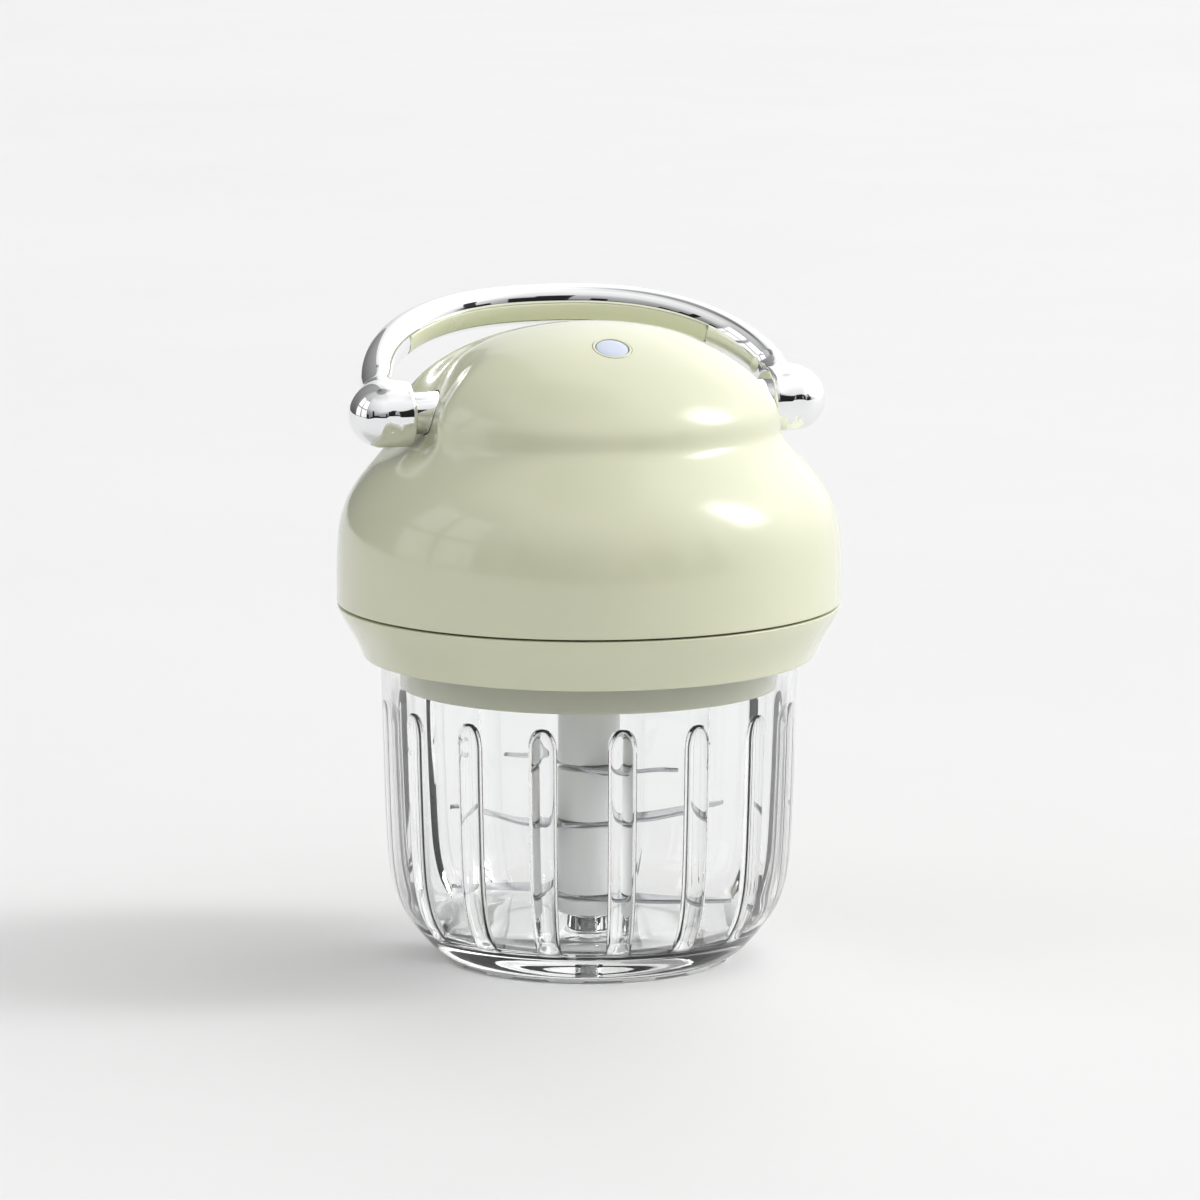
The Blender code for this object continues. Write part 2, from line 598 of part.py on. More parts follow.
def make_upper_shell():
    count = 64
    dome_floor = VALLEY + DOME_FLOOR_RISE
    outer = [head_row(z, radius, 0.0, count) for radius, z in bulge_outline()]
    for step in range(9):
        share = math.sin(math.radians(10.0 * step))
        outer.append(head_row(dome_floor + share * (DOME_HEIGHT - DOME_FLOOR_RISE), 0.0, 0.0, count, share))
    outer.append([(0.0, 0.0, VALLEY + DOME_HEIGHT)])
    inner = [[(0.0, 0.0, VALLEY + DOME_HEIGHT - SHELL_WALL)]]
    for step in (7, 5, 3, 1):
        share = math.sin(math.radians(11.0 * step))
        height = (DOME_HEIGHT - SHELL_WALL - DOME_FLOOR_RISE) * share
        inner.append(head_row(dome_floor + height, 0.0, SHELL_WALL, count, share))
    inner += [head_row(z, radius, SHELL_WALL, count) for radius, z in reversed(bulge_outline()[::2])]
    inner.append(head_row(SPLIT + GAP, HEAD_RADIUS, SHELL_WALL, count))
    rows = inner[:-2] + inner[-1:] + outer
    shell = place(loft(rows), "upper_shell", "sage_plastic")
    bore = COLLAR_RADIUS + GAP
    half = CUTTER_REACH / 2
    button_bore = BUTTON_RADIUS + BUTTON_RING_WIDTH + 2 * GAP
    side_holes = place(
        along_x(turned([(0.0, -HEAD_RADIUS), (bore, -HEAD_RADIUS), (bore, HEAD_RADIUS), (0.0, HEAD_RADIUS)], 24)),
        "pivot_hole_cutter", "steel", location=(0.0, 0.0, PIVOT_Z))
    seat = pivot("button_hole_mark", *button_seat())
    button_hole = place(
        turned([(0.0, -half), (button_bore, -half), (button_bore, half), (0.0, half)], 24),
        "button_hole_cutter", "steel", parent=seat)
    recess_depth = FLAP_THICKNESS + 2 * GAP
    recess_face = HEAD_RADIUS - recess_depth
    flap_recess = place(
        box((FLAP_WIDTH + 2 * GAP, CUTTER_REACH, FLAP_HEIGHT + 2 * GAP), (0.0, recess_face + half, PORT_Z)),
        "flap_recess_cutter", "steel")
    port_hole = place(
        box((PORT_WIDTH + 2 * GAP, CUTTER_REACH, PORT_HEIGHT + 2 * GAP), (0.0, HEAD_RADIUS, PORT_Z)),
        "port_hole_cutter", "steel")
    cut(shell, [side_holes, button_hole, flap_recess, port_hole])


def make_lower_shell():
    """The skirt under the split line, with a floor that rests on the bowl's rim."""
    count = 48
    lip_inner = BOWL_RADIUS + BOWL_CLEARANCE
    outer = [
        (SKIRT_BOTTOM_RADIUS - 0.6 * MM, SKIRT_BOTTOM),
        (SKIRT_BOTTOM_RADIUS, SKIRT_BOTTOM + 0.5 * MM),
        (SKIRT_BOTTOM_RADIUS + 1.0 * MM, SKIRT_BOTTOM + 0.22 * LOWER_SHELL_HEIGHT),
        (HEAD_RADIUS - 4.2 * MM, SKIRT_BOTTOM + 0.45 * LOWER_SHELL_HEIGHT),
        (HEAD_RADIUS - 1.3 * MM, SKIRT_BOTTOM + 0.80 * LOWER_SHELL_HEIGHT),
        (HEAD_RADIUS - 0.3 * MM, SPLIT - GAP),
    ]
    opening = OUTPUT_SHAFT_RADIUS + 5.0 * MM
    profile = [
        (lip_inner, SKIRT_BOTTOM),
        *outer,
        (HEAD_RADIUS - SHELL_WALL - 1.0 * MM, SPLIT - GAP),
        (HEAD_RADIUS - SHELL_WALL - 6.0 * MM, HEAD_FLOOR_TOP),
        (opening, HEAD_FLOOR_TOP),
        (opening, HEAD_FLOOR),
        (lip_inner, HEAD_FLOOR),
    ]
    shell = place(turned(profile, count), "lower_shell", "sage_plastic")
    cut(shell, screw_cutters("case", case_screw_places(), HEAD_FLOOR, HEAD_FLOOR_TOP))


def case_screw_places():
    turns = (math.radians(angle) for angle in (45, 135, 225, 315))
    return [(CASE_SCREW_REACH * math.cos(turn), CASE_SCREW_REACH * math.sin(turn)) for turn in turns]


def screw_cutters(label, places, low, high):
    """Clearance holes for screws through a plate that lies between two heights."""
    radius = SCREW_RADIUS + 2 * GAP
    start, end = low - CUTTER_REACH / 6, high + CUTTER_REACH / 6
    return [
        place(turned([(0.0, start), (radius, start), (radius, end), (0.0, end)], 12),
              f"{label}_screw_cutter_{i + 1}", "steel", location=(x, y, 0.0))
        for i, (x, y) in enumerate(places)
    ]


def make_screws():
    """Four screws come up through the lower shell's floor into the motor frame."""
    top = GEARBOX_FLOOR + SCREW_GRIP
    collar = SCREW_RADIUS + 0.2 * MM
    head_low = HEAD_FLOOR_TOP + GAP
    for i, (x, y) in enumerate(case_screw_places()):
        profile = [
            (0.0, HEAD_FLOOR),
            (collar, HEAD_FLOOR),
            (collar, head_low),
            (SCREW_HEAD_RADIUS, head_low),
            (SCREW_HEAD_RADIUS, head_low + SCREW_HEAD_HEIGHT),
            (SCREW_RADIUS, head_low + SCREW_HEAD_HEIGHT + 0.2 * MM),
            (SCREW_RADIUS, top),
            (0.0, top),
        ]
        place(turned(profile, 12), f"case_screw_{i + 1}", "steel", location=(x, y, 0.0))


def make_plug():
    """The ring under the head that fills the bowl's mouth, and the seal round it."""
    top = HEAD_FLOOR - GAP
    bottom = top - PLUG_DROP
    plate = top - PLUG_PLATE
    opening = HUB_RADIUS + 5.0 * MM
    profile = [
        (PLUG_RADIUS - PLUG_WALL, bottom),
        (PLUG_RADIUS - 0.6 * MM, bottom),
        (PLUG_RADIUS, bottom + 0.6 * MM),
        (PLUG_RADIUS, top),
        (opening, top),
        (opening, plate),
        (PLUG_RADIUS - PLUG_WALL, plate),
    ]
    place(turned(profile, 48), "neck_plug", "sage_plastic")
    seal_low = SKIRT_BOTTOM + 0.8 * MM
    seal = ring_profile(PLUG_RADIUS + GAP, BOWL_INNER - GAP, seal_low, seal_low + SEAL_HEIGHT)
    place(turned(seal, 48), "neck_seal", "seal_rubber")
    shaft_seal = ring_profile(OUTPUT_SHAFT_RADIUS + GAP, OUTPUT_SHAFT_RADIUS + SHAFT_SEAL_WIDTH, HEAD_FLOOR, HEAD_FLOOR_TOP)
    place(turned(shaft_seal, 24), "shaft_seal", "seal_rubber")


# ---------------------------------------------------------------- handle
def bail_point(turn):
    """Middle of the bail at a turn from 0 (right leg) to pi (left leg), in the handle's own upright plane."""
    power = 2.0 / HANDLE_SHAPE
    x = HANDLE_HALF_SPAN * math.copysign(abs(math.cos(turn)) ** power, math.cos(turn))
    return Vector((x, 0.0, HANDLE_REACH * math.sin(turn) ** power))


def bail_frame(turn):
    """The bail's middle and its outward direction in the handle's plane."""
    step = 0.002
    low = max(turn - step, 1e-6)
    high = min(turn + step, math.pi - 1e-6)
    along = (bail_point(high) - bail_point(low)).normalized()
    return bail_point(turn), Vector((along.z, 0.0, -along.x))


def bail_section(turn, inner_flat):
    """Oval section; its inner side is cut back to a flat where the grip insert lies."""
    middle, outward = bail_frame(turn)
    points = []
    for i in range(12):
        angle = math.tau * i / 12
        out = BAIL_HALF_THICKNESS * math.cos(angle)
        across = BAIL_HALF_WIDTH * math.sin(angle)
        if inner_flat:
            out = max(out, -(BAIL_HALF_THICKNESS - GRIP_THICKNESS - GAP))
        points.append(middle + outward * out + Vector((0.0, across, 0.0)))
    return points


def grip_turn():
    """Turn at which the bail's middle has moved far enough for the grip insert's end."""
    share = (GRIP_END_X + BAIL_HALF_THICKNESS) / HANDLE_HALF_SPAN
    return math.acos(share ** (HANDLE_SHAPE / 2.0))


def make_handle():
    hinge = pivot("handle_hinge", (0.0, 0.0, PIVOT_Z), -math.radians(HANDLE_LEAN))
    edge = grip_turn()
    leg_turn = math.asin((0.6 * KNOB_RADIUS / HANDLE_REACH) ** (HANDLE_SHAPE / 2.0))
    leg_steps = 5
    arch_steps = 18
    rows = []
    for i in range(leg_steps):
        rows.append(bail_section(leg_turn + (edge - leg_turn) * i / leg_steps, False))
    rows.append(bail_section(edge - 0.005, False))
    for i in range(arch_steps + 1):
        rows.append(bail_section(edge + (math.pi - 2 * edge) * i / arch_steps, True))
    rows.append(bail_section(math.pi - edge + 0.005, False))
    for i in reversed(range(leg_steps)):
        rows.append(bail_section(math.pi - leg_turn - (edge - leg_turn) * i / leg_steps, False))
    bail = place(loft(rows), "handle_bail", "chrome", parent=hinge)
    round_knobs = [(0.0, -HEAD_RADIUS), (KNOB_RADIUS + GAP, -HEAD_RADIUS), (KNOB_RADIUS + GAP, HEAD_RADIUS),
                   (0.0, HEAD_RADIUS)]
    cut(bail, [place(along_x(turned(round_knobs, 48)), "bail_foot_cutter", "steel", parent=hinge)])

    inset = 0.02
    rows = []
    for i in range(arch_steps + 1):
        turn = edge + inset + (math.pi - 2 * edge - 2 * inset) * i / arch_steps
        middle, outward = bail_frame(turn)
        top = -(BAIL_HALF_THICKNESS - GRIP_THICKNESS)
        low = -(BAIL_HALF_THICKNESS + 0.1 * MM)
        section = [(top, -GRIP_HALF_WIDTH), (top, GRIP_HALF_WIDTH), (low, GRIP_HALF_WIDTH * 0.8),
                   (low, -GRIP_HALF_WIDTH * 0.8)]
        rows.append([middle + outward * out + Vector((0.0, across, 0.0)) for out, across in section])
    place(loft(rows), "grip_insert", "sage_plastic", parent=hinge)

    bore = AXLE_RADIUS + GAP
    bore_end = KNOB_BALL_X - 1.0 * MM
    knob_split = KNOB_BALL_X + 0.4 * MM
    for label, side in (("right", 1), ("left", -1)):
        eye = [
            (bore, KNOB_INNER_X),
            (KNOB_RADIUS - 0.8 * MM, KNOB_INNER_X),
            (KNOB_RADIUS, KNOB_INNER_X + 0.8 * MM),
            (KNOB_RADIUS, KNOB_BALL_X),
            (bore, KNOB_BALL_X),
        ]
        place(along_x(turned(eye, 24), side), f"handle_eye_{label}", "chrome", parent=hinge)
        ball = [(0.0, knob_split), (KNOB_RADIUS, knob_split)]
        for step in range(1, 7):
            angle = math.radians(15.0 * step)
            ball.append((KNOB_RADIUS * math.cos(angle) if step < 6 else 0.0, knob_split + KNOB_RADIUS * math.sin(angle)))
        place(along_x(turned(ball, 24), side), f"knob_cap_{label}", "chrome", parent=hinge)
        axle = [(0.0, AXLE_END_X), (AXLE_RADIUS, AXLE_END_X), (AXLE_RADIUS, bore_end), (0.0, bore_end)]
        place(along_x(turned(axle, 16), side), f"handle_axle_{label}", "steel", parent=hinge)
        clip = ring_profile(AXLE_RADIUS + GAP, AXLE_RADIUS + CLIP_RADIAL_WIDTH, CLIP_X - CLIP_THICKNESS, CLIP_X)
        place(along_x(turned(clip, 16), side), f"axle_clip_{label}", "steel", parent=hinge)
        collar = ring_profile(AXLE_RADIUS + GAP, COLLAR_RADIUS, COLLAR_END_X, COLLAR_FACE_X)
        place(along_x(turned(collar, 20), side), f"pivot_collar_{label}", "sage_plastic",
              location=(0.0, 0.0, PIVOT_Z))


# ---------------------------------------------------------------- power button
def dome_height_share(radius):
    """Share of the dome's height where its front has this radius."""
    low, high = 0.0, 1.0
    for _ in range(40):
        middle = (low + high) / 2
        if dome_radius(middle, -math.pi / 2) > radius:
            low = middle
        else:
            high = middle
    return low


def dome_front_z(radius):
    dome_floor = VALLEY + DOME_FLOOR_RISE
    return dome_floor + dome_height_share(radius) * (DOME_HEIGHT - DOME_FLOOR_RISE)


def button_seat():
    """Place of the button on the dome's front, and the tilt that squares it to the surface."""
    step = 2.0 * MM
    reach = abs(BUTTON_Y)
    slope = (dome_front_z(reach - step) - dome_front_z(reach + step)) / (2 * step)
    return (0.0, BUTTON_Y, dome_front_z(reach)), math.atan(slope)


def make_button():
    place_at, tilt = button_seat()
    seat = pivot("button_axis", place_at, tilt)
    button = [
        (0.0, -BUTTON_LENGTH),
        (BUTTON_RADIUS, -BUTTON_LENGTH),
        (BUTTON_RADIUS, -0.3 * MM),
        (BUTTON_RADIUS * 0.93, 0.0),
        (0.0, BUTTON_CROWN),
    ]
    place(turned(button, 20), "power_button", "button_blue", parent=seat)
    ring_outer = BUTTON_RADIUS + GAP + BUTTON_RING_WIDTH
    ring = ring_profile(BUTTON_RADIUS + GAP, ring_outer, -SHELL_WALL, 0.0)
    place(turned(ring, 20), "button_ring", "sage_plastic", parent=seat)
    board_top = -BUTTON_LENGTH - BUTTON_TRAVEL - GAP - SWITCH_HEIGHT
    switch = box((SWITCH_WIDTH, SWITCH_WIDTH, SWITCH_HEIGHT), (0.0, 0.0, board_top + SWITCH_HEIGHT / 2))
    place(switch, "tact_switch", "black_plastic", parent=seat)
    board = box((*BUTTON_BOARD_SIZE, BOARD_THICKNESS), (0.0, 2.0 * MM, board_top - GAP - BOARD_THICKNESS / 2))
    place(board, "button_board", "board_green", parent=seat)


# ---------------------------------------------------------------- drive
def gear_outline(teeth, turn):
    """Tooth outline with involute thickness at root and tip; turn puts the first tooth's middle."""
    pitch = GEAR_MODULE * teeth / 2
    base = pitch * math.cos(PRESSURE_ANGLE)
    tip = pitch + TOOTH_ADDENDUM * GEAR_MODULE
    root = pitch - TOOTH_DEDENDUM * GEAR_MODULE
    half_at_pitch = math.pi / (2 * teeth) - BACKLASH / (2 * pitch)

    def half_angle(radius):
        pressure = math.acos(min(base / radius, 1.0))
        return half_at_pitch + math.tan(PRESSURE_ANGLE) - PRESSURE_ANGLE - (math.tan(pressure) - pressure)

    outline = []
    for tooth in range(teeth):
        middle = turn + math.tau * tooth / teeth
        foot = half_angle(max(root, base))
        crest = half_angle(tip)
        for radius, offset in ((root, -foot), (tip, -crest), (tip, crest), (root, foot)):
            outline.append((radius, middle + offset))
    return outline


def gear(name, teeth, turn, bore, low, centre_x=0.0):
    """A spur gear with a plain bore."""
    outline = gear_outline(teeth, turn)

    def row(z, radius=None):
        return [((radius or r) * math.cos(a), (radius or r) * math.sin(a), z) for r, a in outline]

    high = low + GEAR_WIDTH
    rows = [row(low, bore), row(low), row(high), row(high, bore)]
    place(loft(rows, closed=True), name, "gear_acetal", location=(centre_x, 0.0, 0.0))


def gearbox_outline(z, grow, count=20):
    """Two half circles round the output gear and the idler, joined by straight sides."""
    reach = GEAR_MODULE * GEAR_TEETH / 2 + 2.0 * MM + grow
    points = []
    for centre, start in ((GEAR_CENTRES, -90.0), (0.0, 90.0)):
        for i in range(count + 1):
            angle = math.radians(start + 180.0 * i / count)
            points.append((centre + reach * math.cos(angle), reach * math.sin(angle), z))
    return points


def make_gearbox():
    wall = GEARBOX_WALL
    plate_top = GEARBOX_FLOOR + GEARBOX_BASE
    bearing_radius = OUTPUT_SHAFT_RADIUS + BEARING_WALL
    plate = place(loft([gearbox_outline(GEARBOX_FLOOR, wall), gearbox_outline(plate_top, wall)]), "gearbox_base",
                  "grey_plastic")
    bearing_bore = bearing_radius + GAP
    idler_bore = IDLER_AXLE_RADIUS + GAP
    bearing_seat = place(turned([(0.0, 0.0), (bearing_bore, 0.0), (bearing_bore, GEARBOX_TOP), (0.0, GEARBOX_TOP)], 24),
                         "bearing_seat_cutter", "steel")
    idler_top = GEARBOX_TOP + CUTTER_REACH
    idler_seat = place(turned([(0.0, 0.0), (idler_bore, 0.0), (idler_bore, idler_top), (0.0, idler_top)], 12),
                       "idler_seat_cutter", "steel", location=(GEAR_CENTRES, 0.0, 0.0))
    cut(plate, [bearing_seat, idler_seat])
    place(turned(ring_profile(OUTPUT_SHAFT_RADIUS + GAP, bearing_radius, GEARBOX_FLOOR, plate_top), 24),
          "output_bearing", "motor_steel")

    cover_rows = [
        gearbox_outline(GEARBOX_TOP - GEARBOX_CEILING, 0.0),
        gearbox_outline(plate_top + GAP, 0.0),
        gearbox_outline(plate_top + GAP, wall),
        gearbox_outline(GEARBOX_TOP, wall),
    ]
    cover = place(loft(cover_rows), "gearbox_cover", "grey_plastic")
    nose = MOTOR_NOSE_RADIUS + 2 * GAP
    shaft_hole = place(turned([(0.0, plate_top), (nose, plate_top), (nose, idler_top), (0.0, idler_top)], 16),
                       "motor_nose_cutter", "steel")
    cut(cover, [shaft_hole, idler_seat])

    output_top = GEAR_LOW + GEAR_WIDTH + 0.5 * MM
    count = 24
    hex_low = HUB_TOP - HEX_LENGTH
    hex_high = HUB_TOP + 2.0 * MM
    rows = [
        [(0.0, 0.0, hex_low)],
        hexagon(hex_low, count, HEX_ACROSS_FLATS - HEX_CHAMFER),
        hexagon(hex_low + HEX_CHAMFER, count),
        hexagon(hex_high, count),
        circle(OUTPUT_SHAFT_RADIUS, hex_high + 0.8 * MM, count),
        circle(OUTPUT_SHAFT_RADIUS, output_top, count),
        [(0.0, 0.0, output_top)],
    ]
    place(loft(rows), "output_shaft", "steel")
    gear("output_gear", GEAR_TEETH, 0.0, OUTPUT_SHAFT_RADIUS + GAP, GEAR_LOW)

    gear("idler_pinion", PINION_TEETH, math.pi + math.pi / PINION_TEETH, idler_bore, GEAR_LOW, GEAR_CENTRES)
    gear("idler_gear", GEAR_TEETH, math.pi, idler_bore, GEAR_HIGH, GEAR_CENTRES)
    gear("motor_pinion", PINION_TEETH, math.pi / PINION_TEETH, MOTOR_SHAFT_RADIUS + GAP, GEAR_HIGH)
    axle_low = GEARBOX_FLOOR + 0.4 * MM
    axle_high = GEARBOX_TOP - 0.4 * MM
    axle = [(0.0, axle_low), (IDLER_AXLE_RADIUS, axle_low), (IDLER_AXLE_RADIUS, axle_high), (0.0, axle_high)]
    place(turned(axle, 12), "idler_axle", "steel", location=(GEAR_CENTRES, 0.0, 0.0))


def make_motor():
    can_top = MOTOR_BASE + MOTOR_LENGTH
    shaft_top = can_top + 2.0 * MM
    can_inner = MOTOR_RADIUS - MOTOR_CAN_WALL
    can = [
        (MOTOR_NOSE_RADIUS, MOTOR_BASE),
        (MOTOR_RADIUS, MOTOR_BASE),
        (MOTOR_RADIUS, can_top),
        (can_inner, can_top),
        (can_inner, MOTOR_BASE + MOTOR_CAN_FLOOR),
        (MOTOR_NOSE_RADIUS, MOTOR_BASE + MOTOR_CAN_FLOOR),
    ]
    place(turned(can, 24), "motor_can", "motor_steel")
    rotor_low = MOTOR_BASE + ROTOR_END_ROOM[0]
    rotor_high = can_top - ROTOR_END_ROOM[1]
    magnet = ring_profile(ROTOR_RADIUS + ROTOR_AIR_GAP, can_inner - GAP, rotor_low - 1.0 * MM, rotor_high + 1.0 * MM)
    place(turned(magnet, 24), "motor_magnet", "black_plastic")
    cap_low = can_top + GAP
    cap = [
        (MOTOR_SHAFT_RADIUS + GAP, cap_low),
        (MOTOR_RADIUS, cap_low),
        (MOTOR_RADIUS, cap_low + MOTOR_CAP_HEIGHT),
        (MOTOR_CAP_BOSS_RADIUS, cap_low + MOTOR_CAP_HEIGHT),
        (MOTOR_CAP_BOSS_RADIUS, cap_low + 2 * MOTOR_CAP_HEIGHT),
        (MOTOR_SHAFT_RADIUS + GAP, cap_low + 2 * MOTOR_CAP_HEIGHT),
    ]
    place(turned(cap, 24), "motor_end_cap", "white_plastic")
    shaft = [(0.0, GEAR_HIGH - 0.5 * MM), (MOTOR_SHAFT_RADIUS, GEAR_HIGH - 0.5 * MM),
             (MOTOR_SHAFT_RADIUS, shaft_top), (0.0, shaft_top)]
    place(turned(shaft, 16), "motor_shaft", "steel")
    rotor = ring_profile(MOTOR_SHAFT_RADIUS + GAP, ROTOR_RADIUS, rotor_low, rotor_high)
    place(turned(rotor, 16), "rotor_core", "rotor_copper")


# ---------------------------------------------------------------- cells, boards and charging port
def stadium(z, radius, count=10):
    """Outline round both cells."""
    points = []
    for centre, start in ((CELL_SPACING / 2, -90.0), (-CELL_SPACING / 2, 90.0)):
        for i in range(count + 1):
            angle = math.radians(start + 180.0 * i / count)
            points.append((centre + radius * math.cos(angle), CELL_Y + radius * math.sin(angle), z))
    return points


def make_cells():
    tray_low = HEAD_FLOOR_TOP + GAP
    snug = CELL_RADIUS + GAP
    cell_low = tray_low + TRAY_FLOOR + GAP
    cell_high = cell_low + CELL_LENGTH
    tray = [
        stadium(tray_low + TRAY_FLOOR, snug),
        stadium(tray_low + TRAY_LIP, snug),
        stadium(tray_low + TRAY_LIP, snug + TRAY_WALL),
        stadium(tray_low, snug + TRAY_WALL),
    ]
    place(loft(tray), "cell_tray", "grey_plastic")
    cap_high = cell_high + GAP + TRAY_FLOOR
    cap = [
        stadium(cap_high - TRAY_FLOOR, snug),
        stadium(cap_high - TRAY_LIP, snug),
        stadium(cap_high - TRAY_LIP, snug + CAP_WALL),
        stadium(cap_high, snug + CAP_WALL),
    ]
    place(loft(cap), "cell_cap", "grey_plastic")
    for label, side in (("right", 1), ("left", -1)):
        cell = [(0.0, cell_low), (CELL_RADIUS, cell_low), (CELL_RADIUS, cell_high - CELL_STEP),
                (CELL_RADIUS / 2, cell_high - CELL_STEP), (CELL_RADIUS / 2, cell_high), (0.0, cell_high)]
        place(turned(cell, 24), f"battery_cell_{label}", "cell_wrap",
              location=(side * CELL_SPACING / 2, CELL_Y, 0.0))


def make_boards():
    board_y = -(MOTOR_RADIUS + CONTROL_BOARD_STANDOFF)
    width, height = CONTROL_BOARD_SIZE
    board_z = SPLIT + 4.0 * MM + height / 2
    place(box((width, BOARD_THICKNESS, height), (0.0, board_y, board_z)), "control_board", "board_green")

    socket_back = HEAD_RADIUS - SHELL_WALL - GAP - PORT_DEPTH
    shell_of_socket = box((PORT_WIDTH - 0.2 * MM, PORT_DEPTH, PORT_HEIGHT - 0.2 * MM),
                          (0.0, socket_back + PORT_DEPTH / 2, PORT_Z))
    socket = place(shell_of_socket, "charging_socket", "motor_steel")
    mouth = place(box((PORT_WIDTH - 1.2 * MM, PORT_DEPTH, PORT_HEIGHT - 1.2 * MM),
                      (0.0, socket_back + PORT_DEPTH / 2 + 1.4 * MM, PORT_Z)), "socket_mouth_cutter", "steel")
    cut(socket, [mouth])
    board_top = PORT_Z - PORT_HEIGHT / 2 - GAP
    place(box((*CHARGING_BOARD_SIZE, BOARD_THICKNESS), (0.0, socket_back, board_top - BOARD_THICKNESS / 2)),
          "charging_board", "board_green")


def make_port_flap():
    """A soft cover in the recess round the port, hinged along its top edge."""
    top = PORT_Z + FLAP_HEIGHT / 2
    hinge = pivot("flap_hinge", (0.0, HEAD_RADIUS - GAP, top))
    middle = (0.0, -FLAP_THICKNESS / 2, -FLAP_HEIGHT / 2)
    flap = place(box((FLAP_WIDTH, FLAP_THICKNESS, FLAP_HEIGHT), middle), "port_flap", "sage_plastic", parent=hinge)
    soften(flap, 0.35 * MM)


def main():
    for thing in list(bpy.data.objects):
        bpy.data.objects.remove(thing, do_unlink=True)
    make_bowl()
    make_blades()
    make_upper_shell()
    make_lower_shell()
    make_screws()
    make_plug()
    make_handle()
    make_button()
    make_gearbox()
    make_motor()
    make_cells()
    make_boards()
    make_port_flap()


main()
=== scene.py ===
"""Looks of the cordless mini food processor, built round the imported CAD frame.

Metres, +Z up, front -Y. Every fine piece takes its place and overall size from the CAD nodes, rides
on a CAD body and stands for the plain CAD nodes of the same shape.
"""

import json
import math

import bmesh
import bpy
import numpy as np
from mathutils import Matrix, Vector


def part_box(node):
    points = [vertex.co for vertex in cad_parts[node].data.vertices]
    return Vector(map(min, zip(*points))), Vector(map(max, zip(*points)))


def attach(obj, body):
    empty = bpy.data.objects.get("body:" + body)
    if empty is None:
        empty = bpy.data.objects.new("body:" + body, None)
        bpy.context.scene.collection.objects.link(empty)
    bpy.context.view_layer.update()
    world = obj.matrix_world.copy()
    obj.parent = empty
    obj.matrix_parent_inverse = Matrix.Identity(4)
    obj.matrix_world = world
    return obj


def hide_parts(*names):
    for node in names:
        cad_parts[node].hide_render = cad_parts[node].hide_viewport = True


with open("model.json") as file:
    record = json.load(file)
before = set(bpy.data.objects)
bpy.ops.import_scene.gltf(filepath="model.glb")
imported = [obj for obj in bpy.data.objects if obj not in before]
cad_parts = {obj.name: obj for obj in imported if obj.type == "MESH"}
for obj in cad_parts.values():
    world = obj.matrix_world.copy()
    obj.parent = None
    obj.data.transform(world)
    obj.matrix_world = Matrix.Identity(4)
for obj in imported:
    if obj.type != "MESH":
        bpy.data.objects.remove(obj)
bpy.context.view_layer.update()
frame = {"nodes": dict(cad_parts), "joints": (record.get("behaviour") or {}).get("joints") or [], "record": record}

MM = 0.001
TAU = math.tau
GAP = 0.3 * MM


# ---------------------------------------------------------------- sizes read from the frame
def reach_of(node):
    """Largest distance of a CAD node from the Z axis."""
    return max(math.hypot(v.co.x, v.co.y) for v in frame["nodes"][node].data.vertices)


def joint(name):
    return next(j for j in frame["joints"] if j["name"] == name)


def added(name, data):
    """A new object in the scene that holds a mesh, a camera or a lamp."""
    thing = bpy.data.objects.new(name, data)
    bpy.context.scene.collection.objects.link(thing)
    return thing


BOWL_RADIUS = reach_of("glass_bowl")
BOWL_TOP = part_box("glass_bowl")[1].z
BOWL_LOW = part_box("glass_bowl")[0].z
HEAD_RADIUS = reach_of("upper_shell")
SHELL_LOW, DOME_TOP = (corner.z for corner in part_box("upper_shell"))
SKIRT_LOW, SKIRT_TOP = (corner.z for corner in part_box("lower_shell"))
PLUG_RADIUS = reach_of("neck_plug")
PLUG_LOW, PLUG_TOP = (corner.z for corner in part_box("neck_plug"))
PIVOT_Z = joint("handle_swing")["pos_m"][2]
HUB_RADIUS = reach_of("hub_crown")
HUB_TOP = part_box("hub_crown")[1].z
SHAFT_RADIUS = reach_of("blade_shaft")
KNOB_RADIUS = (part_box("knob_cap_right")[1].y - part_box("knob_cap_right")[0].y) / 2
KNOB_INNER_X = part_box("handle_eye_right")[0].x
KNOB_BALL_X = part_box("handle_eye_right")[1].x
AXLE_RADIUS = (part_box("handle_axle_right")[1].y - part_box("handle_axle_right")[0].y) / 2
COLLAR_FACE_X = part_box("pivot_collar_right")[1].x
COLLAR_LOW_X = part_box("pivot_collar_right")[0].x
COLLAR_RADIUS = (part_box("pivot_collar_right")[1].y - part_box("pivot_collar_right")[0].y) / 2

# shape of the head
SHELL_WALL = 2.5 * MM
VALLEY = PIVOT_Z - 6.5 * MM
SPLIT = SHELL_LOW - GAP
BULGE_HEIGHT = VALLEY - SPLIT
DOME_FLOOR = VALLEY + 1.0 * MM
DOME_HALF_X = HEAD_RADIUS - 15.8 * MM
DOME_HALF_Y = HEAD_RADIUS - 20.2 * MM
POCKET_FLOOR_X = COLLAR_FACE_X + 0.6 * MM
POCKET_BLEND = 15.7 * MM

# shape of the handle
HANDLE_LEAN = math.radians(63.0)
HANDLE_HALF_SPAN = HEAD_RADIUS - 12.0 * MM
HANDLE_REACH = 52.6 * MM
HANDLE_POWER = 2.0 / 2.4
BAIL_HALF_WIDTH = 6.2 * MM
BAIL_HALF_THICKNESS = 4.8 * MM
GRIP_HALF_WIDTH = 2.9 * MM
GRIP_THICKNESS = 1.6 * MM
GRIP_END_X = HANDLE_HALF_SPAN - 12.0 * MM


